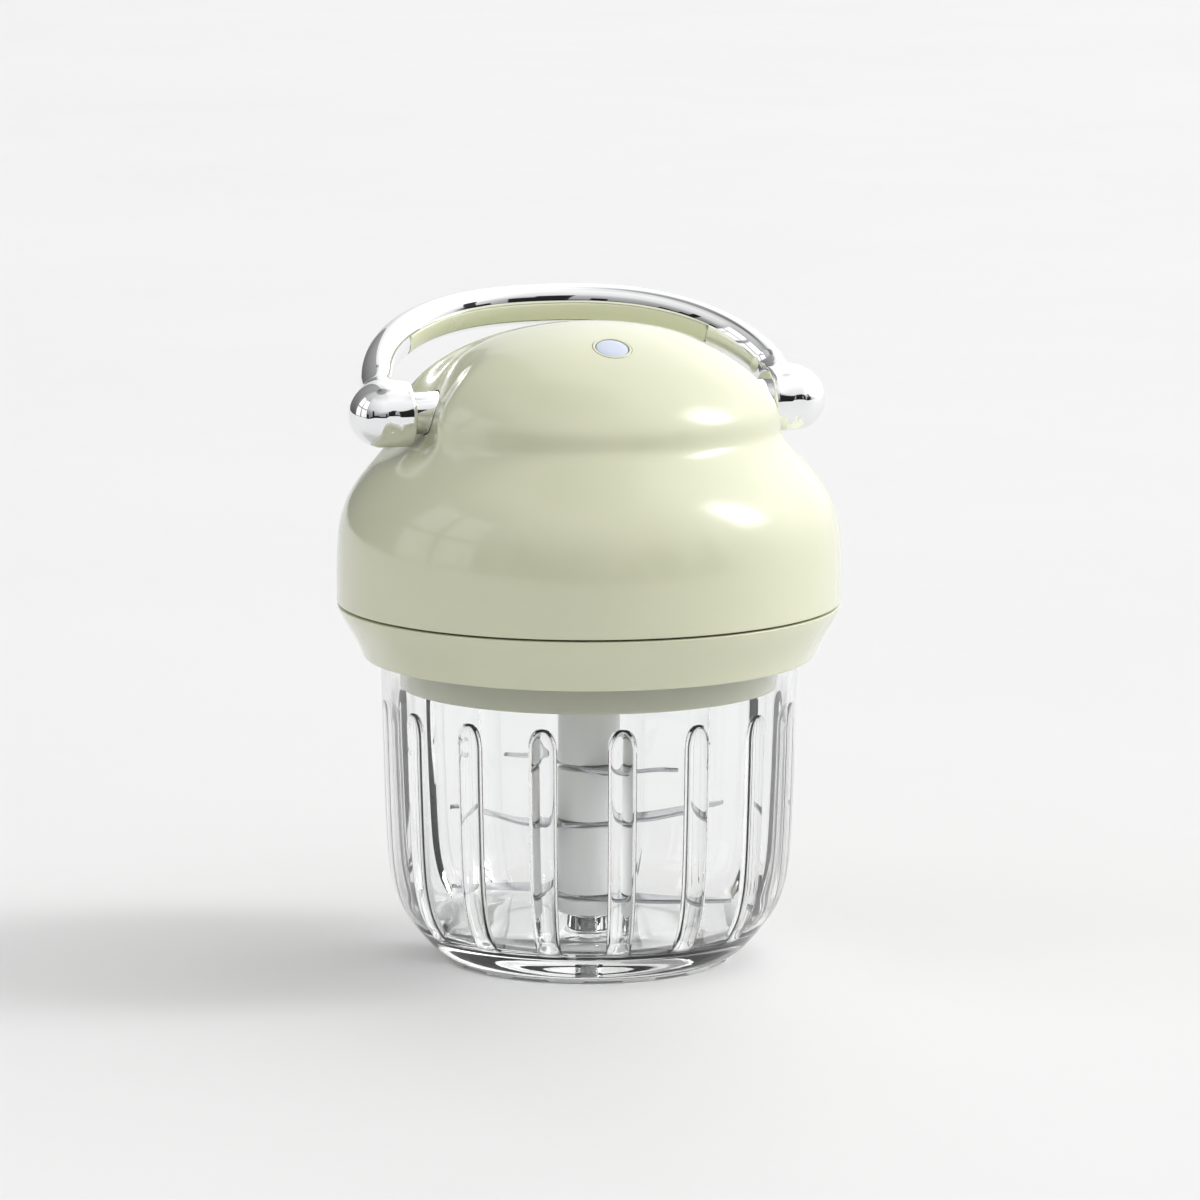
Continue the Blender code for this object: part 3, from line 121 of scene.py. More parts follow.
# ---------------------------------------------------------------- camera
def look_from(azimuth, elevation):
    """Unit vector from the object towards a point at that azimuth and elevation, in degrees."""
    turn, rise = math.radians(azimuth), math.radians(elevation)
    return Vector((math.sin(turn) * math.cos(rise), -math.cos(turn) * math.cos(rise), math.sin(rise)))


def make_camera():
    target = Vector((3.0 * MM, -0.9 * MM, 103.3 * MM))
    back = look_from(-17.0, 9.3)
    data = bpy.data.cameras.new("camera")
    data.sensor_width = 36.0
    data.lens = 210.0
    camera = added("camera", data)
    camera.location = target + back * 2.0
    camera.rotation_mode = "QUATERNION"
    camera.rotation_quaternion = (-back).to_track_quat("-Z", "Y")
    data.clip_start, data.clip_end = 0.05, 60.0
    bpy.context.scene.camera = camera


make_camera()


# ---------------------------------------------------------------- node helpers
def feed(tree, socket, value):
    """Gives a socket a number or a colour, or links it from another socket."""
    if isinstance(value, tuple):
        socket.default_value = (*value, 1.0)
    elif isinstance(value, (int, float)):
        socket.default_value = value
    else:
        tree.links.new(value, socket)


def math_node(tree, operation, a, b=0.0, clamp=False):
    made = tree.nodes.new("ShaderNodeMath")
    made.operation = operation
    made.use_clamp = clamp
    for socket, value in zip(made.inputs, (a, b)):
        feed(tree, socket, value)
    return made.outputs[0]


class Nodes:
    """A material's node tree, with short calls for the nodes that the finishes share."""

    def __init__(self, name):
        self.material = bpy.data.materials.new(name)
        self.material.use_nodes = True
        self.tree = self.material.node_tree
        self.shader = self.tree.nodes["Principled BSDF"]
        self.coordinates = self.tree.nodes.new("ShaderNodeTexCoord").outputs["Object"]

    def link(self, source, target):
        self.tree.links.new(source, target)

    def node(self, kind, **inputs):
        """New node with its inputs set or linked; a name's spaces are written as underscores."""
        made = self.tree.nodes.new("ShaderNode" + kind)
        for name, value in inputs.items():
            feed(self.tree, made.inputs[name.replace("_", " ")], value)
        return made

    def set(self, **values):
        for name, value in values.items():
            self.shader.inputs[name.replace("_", " ")].default_value = value

    def stretched(self, scale):
        """Object coordinates times a scale for each axis."""
        mapping = self.tree.nodes.new("ShaderNodeMapping")
        mapping.inputs["Scale"].default_value = scale
        self.link(self.coordinates, mapping.inputs["Vector"])
        return mapping.outputs["Vector"]

    def noise(self, scale, detail=2.0, roughness=0.5, along=(1.0, 1.0, 1.0)):
        place = self.stretched(along)
        made = self.node("TexNoise", Scale=scale, Detail=detail, Roughness=roughness, Vector=place)
        return made.outputs["Fac"]

    def ramp(self, factor, stops):
        """Colour ramp through (position, (r, g, b)) stops."""
        made = self.tree.nodes.new("ShaderNodeValToRGB")
        elements = made.color_ramp.elements
        while len(elements) < len(stops):
            elements.new(0.5)
        for element, (position, colour) in zip(elements, stops):
            element.position = position
            element.color = (*colour, 1.0)
        self.link(factor, made.inputs["Fac"])
        return made.outputs["Color"]

    def span(self, factor, low, high, start=0.3, end=0.7):
        """Maps a factor from start..end to low..high."""
        made = self.node("MapRange", From_Min=start, From_Max=end, To_Min=low, To_Max=high, Value=factor)
        return made.outputs["Result"]

    def math(self, operation, a, b=0.0):
        return math_node(self.tree, operation, a, b)

    def mix(self, factor, a, b):
        made = self.tree.nodes.new("ShaderNodeMix")
        made.data_type = "RGBA"
        for socket, value in ((made.inputs["Factor"], factor), (made.inputs[6], a), (made.inputs[7], b)):
            feed(self.tree, socket, value)
        return made.outputs[2]

    def bump(self, height, distance, strength):
        return self.node("Bump", Strength=strength, Distance=distance, Height=height).outputs["Normal"]

    def finish(self, colour=None, roughness=None, normal=None):
        for name, source in (("Base Color", colour), ("Roughness", roughness), ("Normal", normal)):
            if source is not None:
                self.link(source, self.shader.inputs[name])
        return self.material


def shaded(colour, by):
    return tuple(min(max(channel * by, 0.0), 1.0) for channel in colour)


def moulded(name, colour, roughness, spread=0.05, grain=900.0, depth=0.01 * MM, mottle=0.03, coat=0.0):
    """Moulded plastic or rubber: slight cloudiness in the pigment, uneven gloss and a fine skin texture."""
    nodes = Nodes(name)
    cloud = nodes.noise(38.0, 3.0)
    speck = nodes.noise(2600.0, 1.0)
    base = nodes.ramp(cloud, [(0.3, shaded(colour, 1.0 - mottle)), (0.7, shaded(colour, 1.0 + mottle))])
    tone = nodes.mix(nodes.span(speck, 0.0, 0.12), base, shaded(colour, 1.0 - 3 * mottle))
    gloss = nodes.span(nodes.noise(95.0, 4.0, 0.62), roughness - spread, roughness + spread)
    nodes.set(Coat_Weight=coat, Coat_Roughness=0.03, IOR=1.5)
    return nodes.finish(tone, gloss, nodes.bump(nodes.noise(grain, 2.0), depth, 0.6))


def sage_plastic(name="sage_gloss", roughness=0.2, coat=0.6):
    return moulded(name, (0.67, 0.685, 0.495), roughness, 0.04, 260.0, 0.012 * MM, 0.012, coat)


def chrome():
    """Plated and polished metal with hairline wiping marks."""
    nodes = Nodes("chrome_plate")
    marks = nodes.noise(60.0, 6.0, 0.7, along=(1.0, 9.0, 9.0))
    haze = nodes.noise(45.0, 3.0)
    nodes.set(Metallic=1.0)
    colour = nodes.ramp(haze, [(0.3, (0.86, 0.87, 0.885)), (0.7, (0.93, 0.93, 0.935))])
    rough = nodes.math("ADD", nodes.span(haze, 0.018, 0.045), nodes.span(marks, 0.0, 0.03, 0.55, 0.8))
    return nodes.finish(colour, rough, nodes.bump(nodes.noise(120.0, 2.0), 0.004 * MM, 0.5))


def steel(name="ground_steel", along=(30.0, 2400.0, 2400.0), colour=(0.60, 0.61, 0.62), low=0.16, high=0.32):
    """Metal ground in one direction: long fine lines in its height and gloss."""
    nodes = Nodes(name)
    lines = nodes.noise(1.0, 4.0, 0.6, along=along)
    cloud = nodes.noise(70.0, 3.0)
    nodes.set(Metallic=1.0)
    tone = nodes.ramp(cloud, [(0.3, shaded(colour, 0.92)), (0.7, shaded(colour, 1.1))])
    return nodes.finish(tone, nodes.span(lines, low, high), nodes.bump(lines, 0.006 * MM, 0.4))


def clear_plastic():
    """Clear moulded bowl: bends light, and lamps shine through its walls on to what is inside."""
    nodes = Nodes("clear_moulding")
    wave = nodes.noise(42.0, 2.0)
    nodes.set(Transmission_Weight=1.0, IOR=1.47)
    tint = nodes.ramp(nodes.noise(20.0, 2.0), [(0.3, (0.972, 0.978, 0.978)), (0.7, (0.985, 0.988, 0.988))])
    nodes.finish(tint, nodes.span(nodes.noise(160.0, 4.0), 0.0, 0.02), nodes.bump(wave, 0.02 * MM, 0.5))
    clear = nodes.node("BsdfTransparent", Color=(0.95, 0.955, 0.955))
    path = nodes.node("LightPath")
    both = nodes.node("MixShader")
    nodes.link(path.outputs["Is Shadow Ray"], both.inputs[0])
    nodes.link(nodes.shader.outputs["BSDF"], both.inputs[1])
    nodes.link(clear.outputs["BSDF"], both.inputs[2])
    nodes.link(both.outputs["Shader"], nodes.tree.nodes["Material Output"].inputs["Surface"])
    return nodes.material


def soft_clear_rubber():
    """Frosted silicone that lets some light through."""
    nodes = Nodes("frosted_silicone")
    nodes.set(Transmission_Weight=0.45, IOR=1.41)
    cloud = nodes.noise(120.0, 3.0)
    tone = nodes.ramp(cloud, [(0.3, (0.84, 0.84, 0.83)), (0.7, (0.92, 0.92, 0.915))])
    return nodes.finish(tone, nodes.span(cloud, 0.38, 0.55), nodes.bump(nodes.noise(1500.0), 0.01 * MM, 0.6))


def copper_winding():
    """Enamelled wire: fine turns along the rotor, light and dark, with painted shade darkening the copper in the
    valleys between turns.
    """
    nodes = Nodes("copper_winding")
    wave = nodes.node("TexWave", Scale=900.0, Distortion=1.5, Detail=2.0, Vector=nodes.coordinates)
    wave.bands_direction = "Z"
    nodes.set(Metallic=1.0, Coat_Weight=0.4, Coat_Roughness=0.1)
    # Dark copper where the wave is low is painted shade between the turns; the bump from the same wave gives the
    # turns their height.
    tone = nodes.ramp(wave.outputs["Fac"], [(0.1, (0.36, 0.13, 0.05)), (0.8, (0.80, 0.42, 0.22))])
    height = nodes.bump(wave.outputs["Fac"], 0.12 * MM, 0.7)
    return nodes.finish(tone, nodes.span(nodes.noise(400.0), 0.25, 0.4), height)


def circuit_board():
    """Green solder mask over a grid of copper tracks, with tinned pads."""
    nodes = Nodes("circuit_board")
    upright = nodes.node("Mapping", Vector=nodes.coordinates)
    upright.inputs["Rotation"].default_value = (math.radians(90.0), 0.0, 0.0)
    tracks = nodes.node("TexBrick", Scale=260.0, Mortar_Size=0.06, Color1=(0.012, 0.115, 0.045),
                        Color2=(0.016, 0.14, 0.055), Mortar=(0.05, 0.27, 0.12),
                        Vector=upright.outputs["Vector"])
    pads = nodes.node("TexVoronoi", Scale=330.0, Vector=nodes.coordinates)
    on_pad = nodes.span(pads.outputs["Distance"], 1.0, 0.0, 0.16, 0.2)
    tone = nodes.mix(on_pad, tracks.outputs["Color"], (0.72, 0.71, 0.66))
    height = nodes.bump(tracks.outputs["Fac"], 0.04 * MM, 0.6)
    return nodes.finish(tone, nodes.span(nodes.noise(300.0), 0.28, 0.42), height)


def cell_wrap():
    """Blue shrink wrap with a plain lighter band and soft heat wrinkles."""
    nodes = Nodes("cell_wrap_blue")
    separate = nodes.node("SeparateXYZ", Vector=nodes.coordinates)
    low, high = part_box("battery_cell_left")
    middle = (low.z + high.z) / 2
    away = nodes.math("ABSOLUTE", nodes.math("SUBTRACT", separate.outputs["Z"], middle))
    on_band = nodes.span(away, 1.0, 0.0, 6.0 * MM, 6.2 * MM)
    base = nodes.ramp(nodes.noise(60.0, 3.0), [(0.3, (0.04, 0.13, 0.33)), (0.7, (0.06, 0.17, 0.40))])
    tone = nodes.mix(on_band, base, (0.42, 0.56, 0.72))
    wrinkle = nodes.noise(160.0, 3.0, along=(1.0, 1.0, 0.2))
    nodes.set(Coat_Weight=0.5, Coat_Roughness=0.08)
    return nodes.finish(tone, nodes.span(wrinkle, 0.2, 0.35), nodes.bump(wrinkle, 0.08 * MM, 0.5))


FINISHES = {
    "sage_plastic": sage_plastic(),
    "chrome": chrome(),
    "clear_plastic": clear_plastic(),
    "clear_rubber": soft_clear_rubber(),
    "steel": steel(),
    "white_plastic": moulded("hub_white", (0.84, 0.845, 0.845), 0.32, 0.07, 1100.0, 0.012 * MM, 0.015),
    "seal_rubber": moulded("seal_silicone", (0.80, 0.815, 0.76), 0.52, 0.08, 1500.0, 0.02 * MM, 0.03),
    "button_blue": moulded("button_pale_blue", (0.60, 0.66, 0.79), 0.3, 0.06, 1400.0, 0.01 * MM, 0.015),
    "grey_plastic": moulded("frame_grey", (0.11, 0.115, 0.12), 0.46, 0.08, 1700.0, 0.05 * MM, 0.06),
    "motor_steel": steel("drawn_steel", (2400.0, 2400.0, 60.0), (0.46, 0.47, 0.49), 0.26, 0.42),
    "rotor_copper": copper_winding(),
    "gear_acetal": moulded("gear_acetal", (0.76, 0.745, 0.67), 0.36, 0.06, 1200.0, 0.015 * MM, 0.03),
    "cell_wrap": cell_wrap(),
    "board_green": circuit_board(),
    "black_plastic": moulded("black_moulding", (0.022, 0.022, 0.024), 0.4, 0.08, 1600.0, 0.03 * MM, 0.1),
}


def finish_cad_nodes():
    """Every CAD node gets the finish of its slot; those that a fine piece stands for are hidden later."""
    for row in frame["record"]["subparts"]:
        mesh = frame["nodes"][row["node"]].data
        mesh.materials.clear()
        mesh.materials.append(FINISHES[row["material_slot"]])


finish_cad_nodes()


# ---------------------------------------------------------------- mesh helpers
def piece(name, mesh, slot, body, *stands_for, sharp=38.0, finish=None):
    """Links a finished mesh as a piece that rides on a body and stands for CAD nodes."""
    mesh.name = name
    mesh.shade_smooth()
    mesh.set_sharp_from_angle(angle=math.radians(sharp))
    mesh.materials.clear()
    mesh.materials.append(finish or FINISHES[slot])
    thing = added(name, mesh)
    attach(thing, body)
    if stands_for:
        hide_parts(*stands_for)
    return thing


def skin(rows, closed=False):
    """Mesh through rows of points; a row of one point is a pole, and a closed skin joins its ends."""
    starts, points, faces = [], [], []
    for row in rows:
        starts.append(len(points))
        points.extend(map(tuple, np.asarray(row, float).reshape(-1, 3)))
    pairs = list(zip(range(len(rows) - 1), range(1, len(rows))))
    if closed:
        pairs.append((len(rows) - 1, 0))
    for low, high in pairs:
        a, b = len(rows[low]), len(rows[high])
        for i in range(max(a, b)):
            j = (i + 1) % max(a, b)
            corners = [starts[low] + i % a, starts[low] + j % a, starts[high] + j % b, starts[high] + i % b]
            faces.append(tuple(dict.fromkeys(corners)))
    mesh = bpy.data.meshes.new("skin")
    mesh.from_pydata(points, [], faces)
    return faced_outward(mesh)


def faced_outward(mesh):
    builder = bmesh.new()
    builder.from_mesh(mesh)
    bmesh.ops.recalc_face_normals(builder, faces=builder.faces)
    builder.to_mesh(mesh)
    builder.free()
    return mesh


def filleted(corners, closed=False, step=15.0):
    """Outline through (radius, z, fillet) corners, each rounded by an arc of its fillet."""
    outline = []
    count = len(corners)
    for i, corner in enumerate(corners):
        here = np.array(corner[:2], float)
        fillet = corner[2] if len(corner) > 2 else 0.0
        ends = not closed and i in (0, count - 1)
        if fillet <= 0.0 or ends:
            outline.append(tuple(here))
            continue
        before = np.array(corners[i - 1][:2], float) - here
        after = np.array(corners[(i + 1) % count][:2], float) - here
        reach_before, reach_after = np.linalg.norm(before), np.linalg.norm(after)
        before, after = before / reach_before, after / reach_after
        half = math.acos(max(-1.0, min(1.0, float(before @ after)))) / 2
        back = min(fillet / math.tan(half), 0.49 * reach_before, 0.49 * reach_after)
        radius = back * math.tan(half)
        centre = here + (before + after) / np.linalg.norm(before + after) * radius / math.sin(half)
        start, end = here + before * back - centre, here + after * back - centre
        sweep = math.pi - 2 * half
        steps = max(2, round(math.degrees(sweep) / step))
        for k in range(steps + 1):
            share = k / steps
            arc = (start * math.sin(sweep * (1 - share)) + end * math.sin(sweep * share)) / math.sin(sweep)
            outline.append(tuple(centre + arc))
    return outline


def spline_weights(t):
    """Weights of four neighbouring controls at a share t of a cubic B-spline span."""
    return np.array([(1 - t) ** 3, 3 * t**3 - 6 * t**2 + 4, -3 * t**3 + 3 * t**2 + 3 * t + 1, t**3]) / 6


def b_spline(controls, per_span=4):
    """Cubic B-spline rows along a control polygon, from its first point to its last."""
    controls = np.asarray(controls, float)
    padded = np.vstack([2 * controls[0] - controls[1], controls, 2 * controls[-1] - controls[-2]])
    rows = []
    for span in range(len(controls) - 1):
        for k in range(per_span + (span == len(controls) - 2)):
            rows.append(spline_weights(k / per_span) @ padded[span : span + 4])
    return np.array(rows)


def ring_points(radius, z, turns):
    """Points round the Z axis; the radius and height are one value, or one for each angle."""
    return np.column_stack([radius * np.cos(turns), radius * np.sin(turns), np.full(len(turns), z)])


def circle_rows(outline, count, angles=None):
    """Rings about Z for an outline of (radius, z); a point on the axis is a pole."""
    turns = np.linspace(0.0, TAU, count, endpoint=False) if angles is None else np.asarray(angles)
    rows = []
    for radius, z in outline:
        if radius < 1e-9:
            rows.append(np.array([[0.0, 0.0, z]]))
        else:
            rows.append(ring_points(radius, z, turns))
    return rows


def turned(outline, count=160):
    return skin(circle_rows(outline, count), closed=outline[0][0] > 1e-9)


def rod(radius, half_length, count):
    """Cylinder about Z with its middle at the origin: a cutter for a round hole."""
    ends = [(0.0, -half_length), (radius, -half_length), (radius, half_length), (0.0, half_length)]
    return turned(ends, count)


def moved(mesh, matrix):
    mesh.transform(matrix)
    return faced_outward(mesh)


def about_x(side, z=PIVOT_Z):
    """Lays a piece made about Z along X, with its far end towards side."""
    return Matrix.Translation((0.0, 0.0, z)) @ Matrix.Rotation(side * math.pi / 2, 4, "Y")


def applied(thing):
    """Mesh of an object as its modifiers leave it."""
    return bpy.data.meshes.new_from_object(thing.evaluated_get(bpy.context.evaluated_depsgraph_get()))


def cut_from(mesh, cutters):
    """Takes closed meshes away from a mesh, exactly."""
    target = added("target", mesh)
    tools = []
    for i, cutter in enumerate(cutters):
        tool = added(f"tool_{i}", cutter)
        tools.append(tool)
        cut = target.modifiers.new(f"cut_{i}", "BOOLEAN")
        cut.operation = "DIFFERENCE"
        cut.solver = "EXACT"
        cut.object = tool
    result = applied(target)
    for thing in (target, *tools):
        bpy.data.objects.remove(thing)
    return result


def rounded_block(size, centre, radius, depth_axis=1, steps=6):
    """A block with round corners seen along its depth axis: a plate, a slot or a cutter for one."""
    across = [i for i in range(3) if i != depth_axis]
    half = [size[i] / 2 for i in across]
    ring = []
    for quarter, (sign_a, sign_b) in enumerate(((1, 1), (-1, 1), (-1, -1), (1, -1))):
        for k in range(steps + 1):
            angle = math.pi / 2 * (quarter + k / steps)
            ring.append((sign_a * (half[0] - radius) + radius * math.cos(angle),
                         sign_b * (half[1] - radius) + radius * math.sin(angle)))
    rows = []
    for end in (-0.5, 0.5):
        row = np.zeros((len(ring), 3))
        row[:, across] = np.array(ring)
        row[:, depth_axis] = end * size[depth_axis]
        rows.append(row + np.array(centre))
    mesh = bpy.data.meshes.new("block")
    count = len(ring)
    faces = [(i, (i + 1) % count, count + (i + 1) % count, count + i) for i in range(count)]
    faces += [tuple(range(count)), tuple(range(count, 2 * count))]
    mesh.from_pydata([tuple(p) for row in rows for p in row], [], faces)
    return faced_outward(mesh)


def smooth_step(value):
    share = np.clip(value, 0.0, 1.0)
    return share * share * (3.0 - 2.0 * share)


def bevelled(mesh, width, segments=3, angle=40.0):
    """Rounds a mesh's sharp edges."""
    thing = added("bevelled", mesh)
    bevel = thing.modifiers.new("round", "BEVEL")
    bevel.width = width
    bevel.segments = segments
    bevel.limit_method = "ANGLE"
    bevel.angle_limit = math.radians(angle)
    result = applied(thing)
    bpy.data.objects.remove(thing)
    return result


# ---------------------------------------------------------------- clear bowl
RIB_COUNT = 16
RIB_HALF_WIDTH = 4.0 * MM
RIB_DEPTH = 2.4 * MM
RIB_TOP = BOWL_TOP - 16.0 * MM
RIB_BOTTOM = 9.5 * MM
BOWL_FLOOR = 9.3 * MM
FLOOR_BOSS_TOP = BOWL_FLOOR + 2.8 * MM
FOOT_PAD_COUNT = 12


def bowl_turns():
    """Angles of the bowl's columns, close together across each rib, and where each lies across its rib."""
    pitch = TAU / RIB_COUNT
    half = RIB_HALF_WIDTH / (BOWL_RADIUS - 3.0 * MM)
    across_rib = [-math.cos(math.pi * k / 18) for k in range(19)]
    between = [half + (pitch - 2 * half) * k / 8 for k in range(1, 8)]
    offsets = [share * half for share in across_rib] + between
    first = math.radians(-75.0)
    turns = np.array([first + rib * pitch + offset for rib in range(RIB_COUNT) for offset in offsets])
    shares = np.array([offset / half for _ in range(RIB_COUNT) for offset in offsets])
    return turns, shares


def rib_depth(across, z):
    """Half-round rib with a bullet-shaped top and a run-out at the bowl's floor."""
    top_height = 7.0 * MM
    above = max(z - (RIB_TOP - top_height), 0.0) / top_height
    inside = np.clip(1.0 - across**2 - above**2, 0.0, 1.0)
    return RIB_DEPTH * np.sqrt(inside) * smooth_step((z - RIB_BOTTOM) / (5.0 * MM))


def make_bowl():
    turns, shares = bowl_turns()
    outer = b_spline([
        (BOWL_RADIUS - 18.6 * MM, BOWL_LOW), (BOWL_RADIUS - 17.4 * MM, BOWL_LOW + 0.5 * MM),
        (BOWL_RADIUS - 14.4 * MM, BOWL_LOW + 2.6 * MM), (BOWL_RADIUS - 9.4 * MM, BOWL_LOW + 8.3 * MM),
        (BOWL_RADIUS - 4.6 * MM, BOWL_LOW + 15.0 * MM), (BOWL_RADIUS - 2.2 * MM, BOWL_LOW + 24.0 * MM),
        (BOWL_RADIUS - 1.2 * MM, BOWL_LOW + 40.0 * MM), (BOWL_RADIUS, BOWL_TOP - 1.0 * MM)], 6)
    inner_radius = BOWL_RADIUS - 3.0 * MM
    rim = filleted([(BOWL_RADIUS, BOWL_TOP - 1.0 * MM), (BOWL_RADIUS, BOWL_TOP, 1.0 * MM),
                    (inner_radius, BOWL_TOP, 0.8 * MM), (inner_radius, BOWL_TOP - 1.0 * MM)])
    heights = np.concatenate([
        np.linspace(BOWL_TOP - 2.0 * MM, RIB_TOP + 0.4 * MM, 8),
        RIB_TOP - 7.2 * MM * (1.0 - np.cos(np.linspace(0.0, math.pi / 2, 20))),
        np.linspace(RIB_TOP - 9.0 * MM, BOWL_FLOOR + 12.0 * MM, 34)])
    wall = b_spline([
        (inner_radius, BOWL_TOP), (inner_radius, RIB_TOP - 8.0 * MM), (inner_radius - 1.0 * MM, 40.0 * MM),
        (inner_radius - 1.8 * MM, 27.0 * MM), (inner_radius - 3.6 * MM, BOWL_FLOOR + 10.0 * MM),
        (inner_radius - 6.2 * MM, BOWL_FLOOR + 4.0 * MM)], 24)
    order = np.argsort(wall[:, 1])
    inner = [(float(np.interp(z, wall[order, 1], wall[order, 0])), float(z)) for z in heights]
    corner = b_spline([
        inner[-1], (inner_radius - 4.6 * MM, BOWL_FLOOR + 6.5 * MM),
        (inner_radius - 8.6 * MM, BOWL_FLOOR + 0.9 * MM), (inner_radius - 12.0 * MM, BOWL_FLOOR),
        (inner_radius - 20.0 * MM, BOWL_FLOOR)], 6)
    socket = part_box("spindle_pin")[1].x + GAP
    socket_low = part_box("spindle_pin")[0].z - GAP
    boss = filleted([(inner_radius - 20.0 * MM, BOWL_FLOOR), (6.6 * MM, BOWL_FLOOR, 1.2 * MM),
                     (6.0 * MM, FLOOR_BOSS_TOP, 0.6 * MM), (socket, FLOOR_BOSS_TOP, 0.3 * MM),
                     (socket, socket_low), (0.0, socket_low)])
    rows = [np.array([[0.0, 0.0, BOWL_LOW]])]
    rows += circle_rows([(BOWL_RADIUS - 28.0 * MM, BOWL_LOW)], 0, turns)
    rows += circle_rows([tuple(p) for p in outer[:-1]] + rim, 0, turns)
    for radius, z in inner + [tuple(p) for p in corner[1:]]:
        reach = radius - rib_depth(shares, z)
        rows.append(ring_points(reach, z, turns))
    rows += circle_rows(boss[1:], 0, turns)
    piece("ribbed_bowl", skin(rows), "clear_plastic", "bowl", "glass_bowl", sharp=50.0)


def make_foot_pads():
    """A thin silicone web with twelve raised pads, each with round edges."""
    low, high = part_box("foot_ring")
    outer = reach_of("foot_ring")
    inner = min(math.hypot(v.co.x, v.co.y) for v in frame["nodes"]["foot_ring"].data.vertices)
    count = 24 * FOOT_PAD_COUNT
    turns = np.linspace(0.0, TAU, count, endpoint=False)
    place = np.abs((turns * FOOT_PAD_COUNT / TAU - 0.125 + 0.5) % 1.0 - 0.5)
    drop = 0.7 * MM * (1.0 - smooth_step((place - 0.22) / 0.03))
    section = filleted([(inner, high.z, 0.15 * MM), (outer, high.z, 0.2 * MM),
                        (outer - 0.1 * MM, low.z, 0.35 * MM), (inner + 0.1 * MM, low.z, 0.35 * MM)],
                       closed=True, step=22.0)
    rows = []
    for radius, z in section:
        sunk = (high.z - z) / (high.z - low.z)
        height = z + (0.7 * MM - drop) * sunk
        rows.append(ring_points(radius, height, turns))
    piece("silicone_feet", skin(rows, closed=True), "clear_rubber", "bowl", "foot_ring")


# ---------------------------------------------------------------- blade stack
def make_hub():
    """White mouldings between the blades, with a socket in the crown's top."""
    bore = SHAFT_RADIUS + GAP
    for name in ("hub_foot", "hub_spacer_lower", "hub_spacer_upper"):
        low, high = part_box(name)
        outline = filleted([(bore, low.z, 0.2 * MM), (HUB_RADIUS, low.z, 0.35 * MM),
                            (HUB_RADIUS, high.z, 0.35 * MM), (bore, high.z, 0.2 * MM)],
                           closed=True, step=22.0)
        piece(f"{name}_moulding", turned(outline, 96), "white_plastic", "blades", name)
    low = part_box("hub_crown")[0]
    outline = filleted([(bore, low.z), (HUB_RADIUS, low.z, 0.35 * MM), (HUB_RADIUS, HUB_TOP, 1.2 * MM),
                        (5.4 * MM, HUB_TOP, 0.4 * MM), (5.0 * MM, HUB_TOP - 0.6 * MM)], step=18.0)
    rows = circle_rows(outline, 96)
    half_flat = 4.2 * MM
    socket_low = HUB_TOP - 9.7 * MM
    for z in (HUB_TOP - 0.9 * MM, socket_low):
        rows.append(hexagon(half_flat, z, 96))
    rows += circle_rows([(bore, socket_low - 0.4 * MM)], 96)
    piece("hub_crown_moulding", skin(rows, closed=True), "white_plastic", "blades", "hub_crown", sharp=30.0)


def hexagon(half_flats, z, count):
    turns = np.linspace(0.0, TAU, count, endpoint=False)
    from_flat = (turns + math.pi / 6) % (math.pi / 3) - math.pi / 6
    radius = half_flats / np.cos(from_flat)
    return ring_points(radius, z, turns)


BLADES = {  # level, span, angle, tip rise right and left
    "lower": (18.0 * MM, 43.0 * MM, -45.0, 1.0 * MM, -1.5 * MM),
    "middle": (39.4 * MM, 42.5 * MM, 0.0, 2.0 * MM, 7.0 * MM),
    "upper": (56.1 * MM, 40.0 * MM, -76.0, 4.0 * MM, -3.0 * MM),
}


def blade_section(x, low, high, low_edge, high_edge, lift, half):
    """Points round a blade; an edge is ground over its width, and a small width only breaks the corners."""
    across = [low + low_edge, high - high_edge, high - high_edge * 0.45, high, high - high_edge * 0.45,
              high - high_edge, low + low_edge, low + low_edge * 0.45, low, low + low_edge * 0.45]
    shares = [-1.0, -1.0, -0.42, 0.0, 0.42, 1.0, 1.0, 0.42, 0.0, -0.42]
    return [(x, y, lift + half * share) for y, share in zip(across, shares)]


def make_blades():
    for label, (level, span, angle, rise_right, rise_left) in BLADES.items():
        rows = []
        count = 60
        for i in range(-count, count + 1):
            share = i / count
            size = abs(share)
            bend = float(smooth_step((size - 0.35) / 0.65))
            lift = (rise_right if share > 0 else rise_left) * bend
            half_width = 6.5 * MM * (1.0 - 0.35 * size - 0.45 * size**4)
            if size > 0.93:
                half_width *= math.sqrt(max(1.0 - ((size - 0.93) / 0.07) ** 2, 0.02))
            sweep = 5.0 * MM * share * size
            broken = 0.12 * MM
            ground = min(broken + 2.6 * MM * float(smooth_step((size - 0.22) / 0.1)), 1.6 * half_width)
            edges = (ground, broken) if share < 0 else (broken, ground)
            low, high = sweep - half_width, sweep + half_width
            rows.append(blade_section(span * share, low, high, *edges, lift, 0.6 * MM))
        blade = skin_with_caps(rows)
        place = Matrix.Translation((0.0, 0.0, level)) @ Matrix.Rotation(math.radians(angle), 4, "Z")
        blade = cut_from(blade, [rod(SHAFT_RADIUS + GAP, 5 * MM, 64)])
        piece(f"{label}_knife", moved(blade, place), "steel", "blades", f"{label}_blade", sharp=24.0,
              finish=steel(f"{label}_knife_steel", (2000.0, 60.0, 2000.0), (0.50, 0.51, 0.53), 0.14, 0.28))


def skin_with_caps(rows):
    """A skin whose first and last rows are filled."""
    mesh = skin(rows)
    builder = bmesh.new()
    builder.from_mesh(mesh)
    bmesh.ops.holes_fill(builder, edges=[e for e in builder.edges if e.is_boundary], sides=0)
    bmesh.ops.recalc_face_normals(builder, faces=builder.faces)
    builder.to_mesh(mesh)
    builder.free()
    return mesh


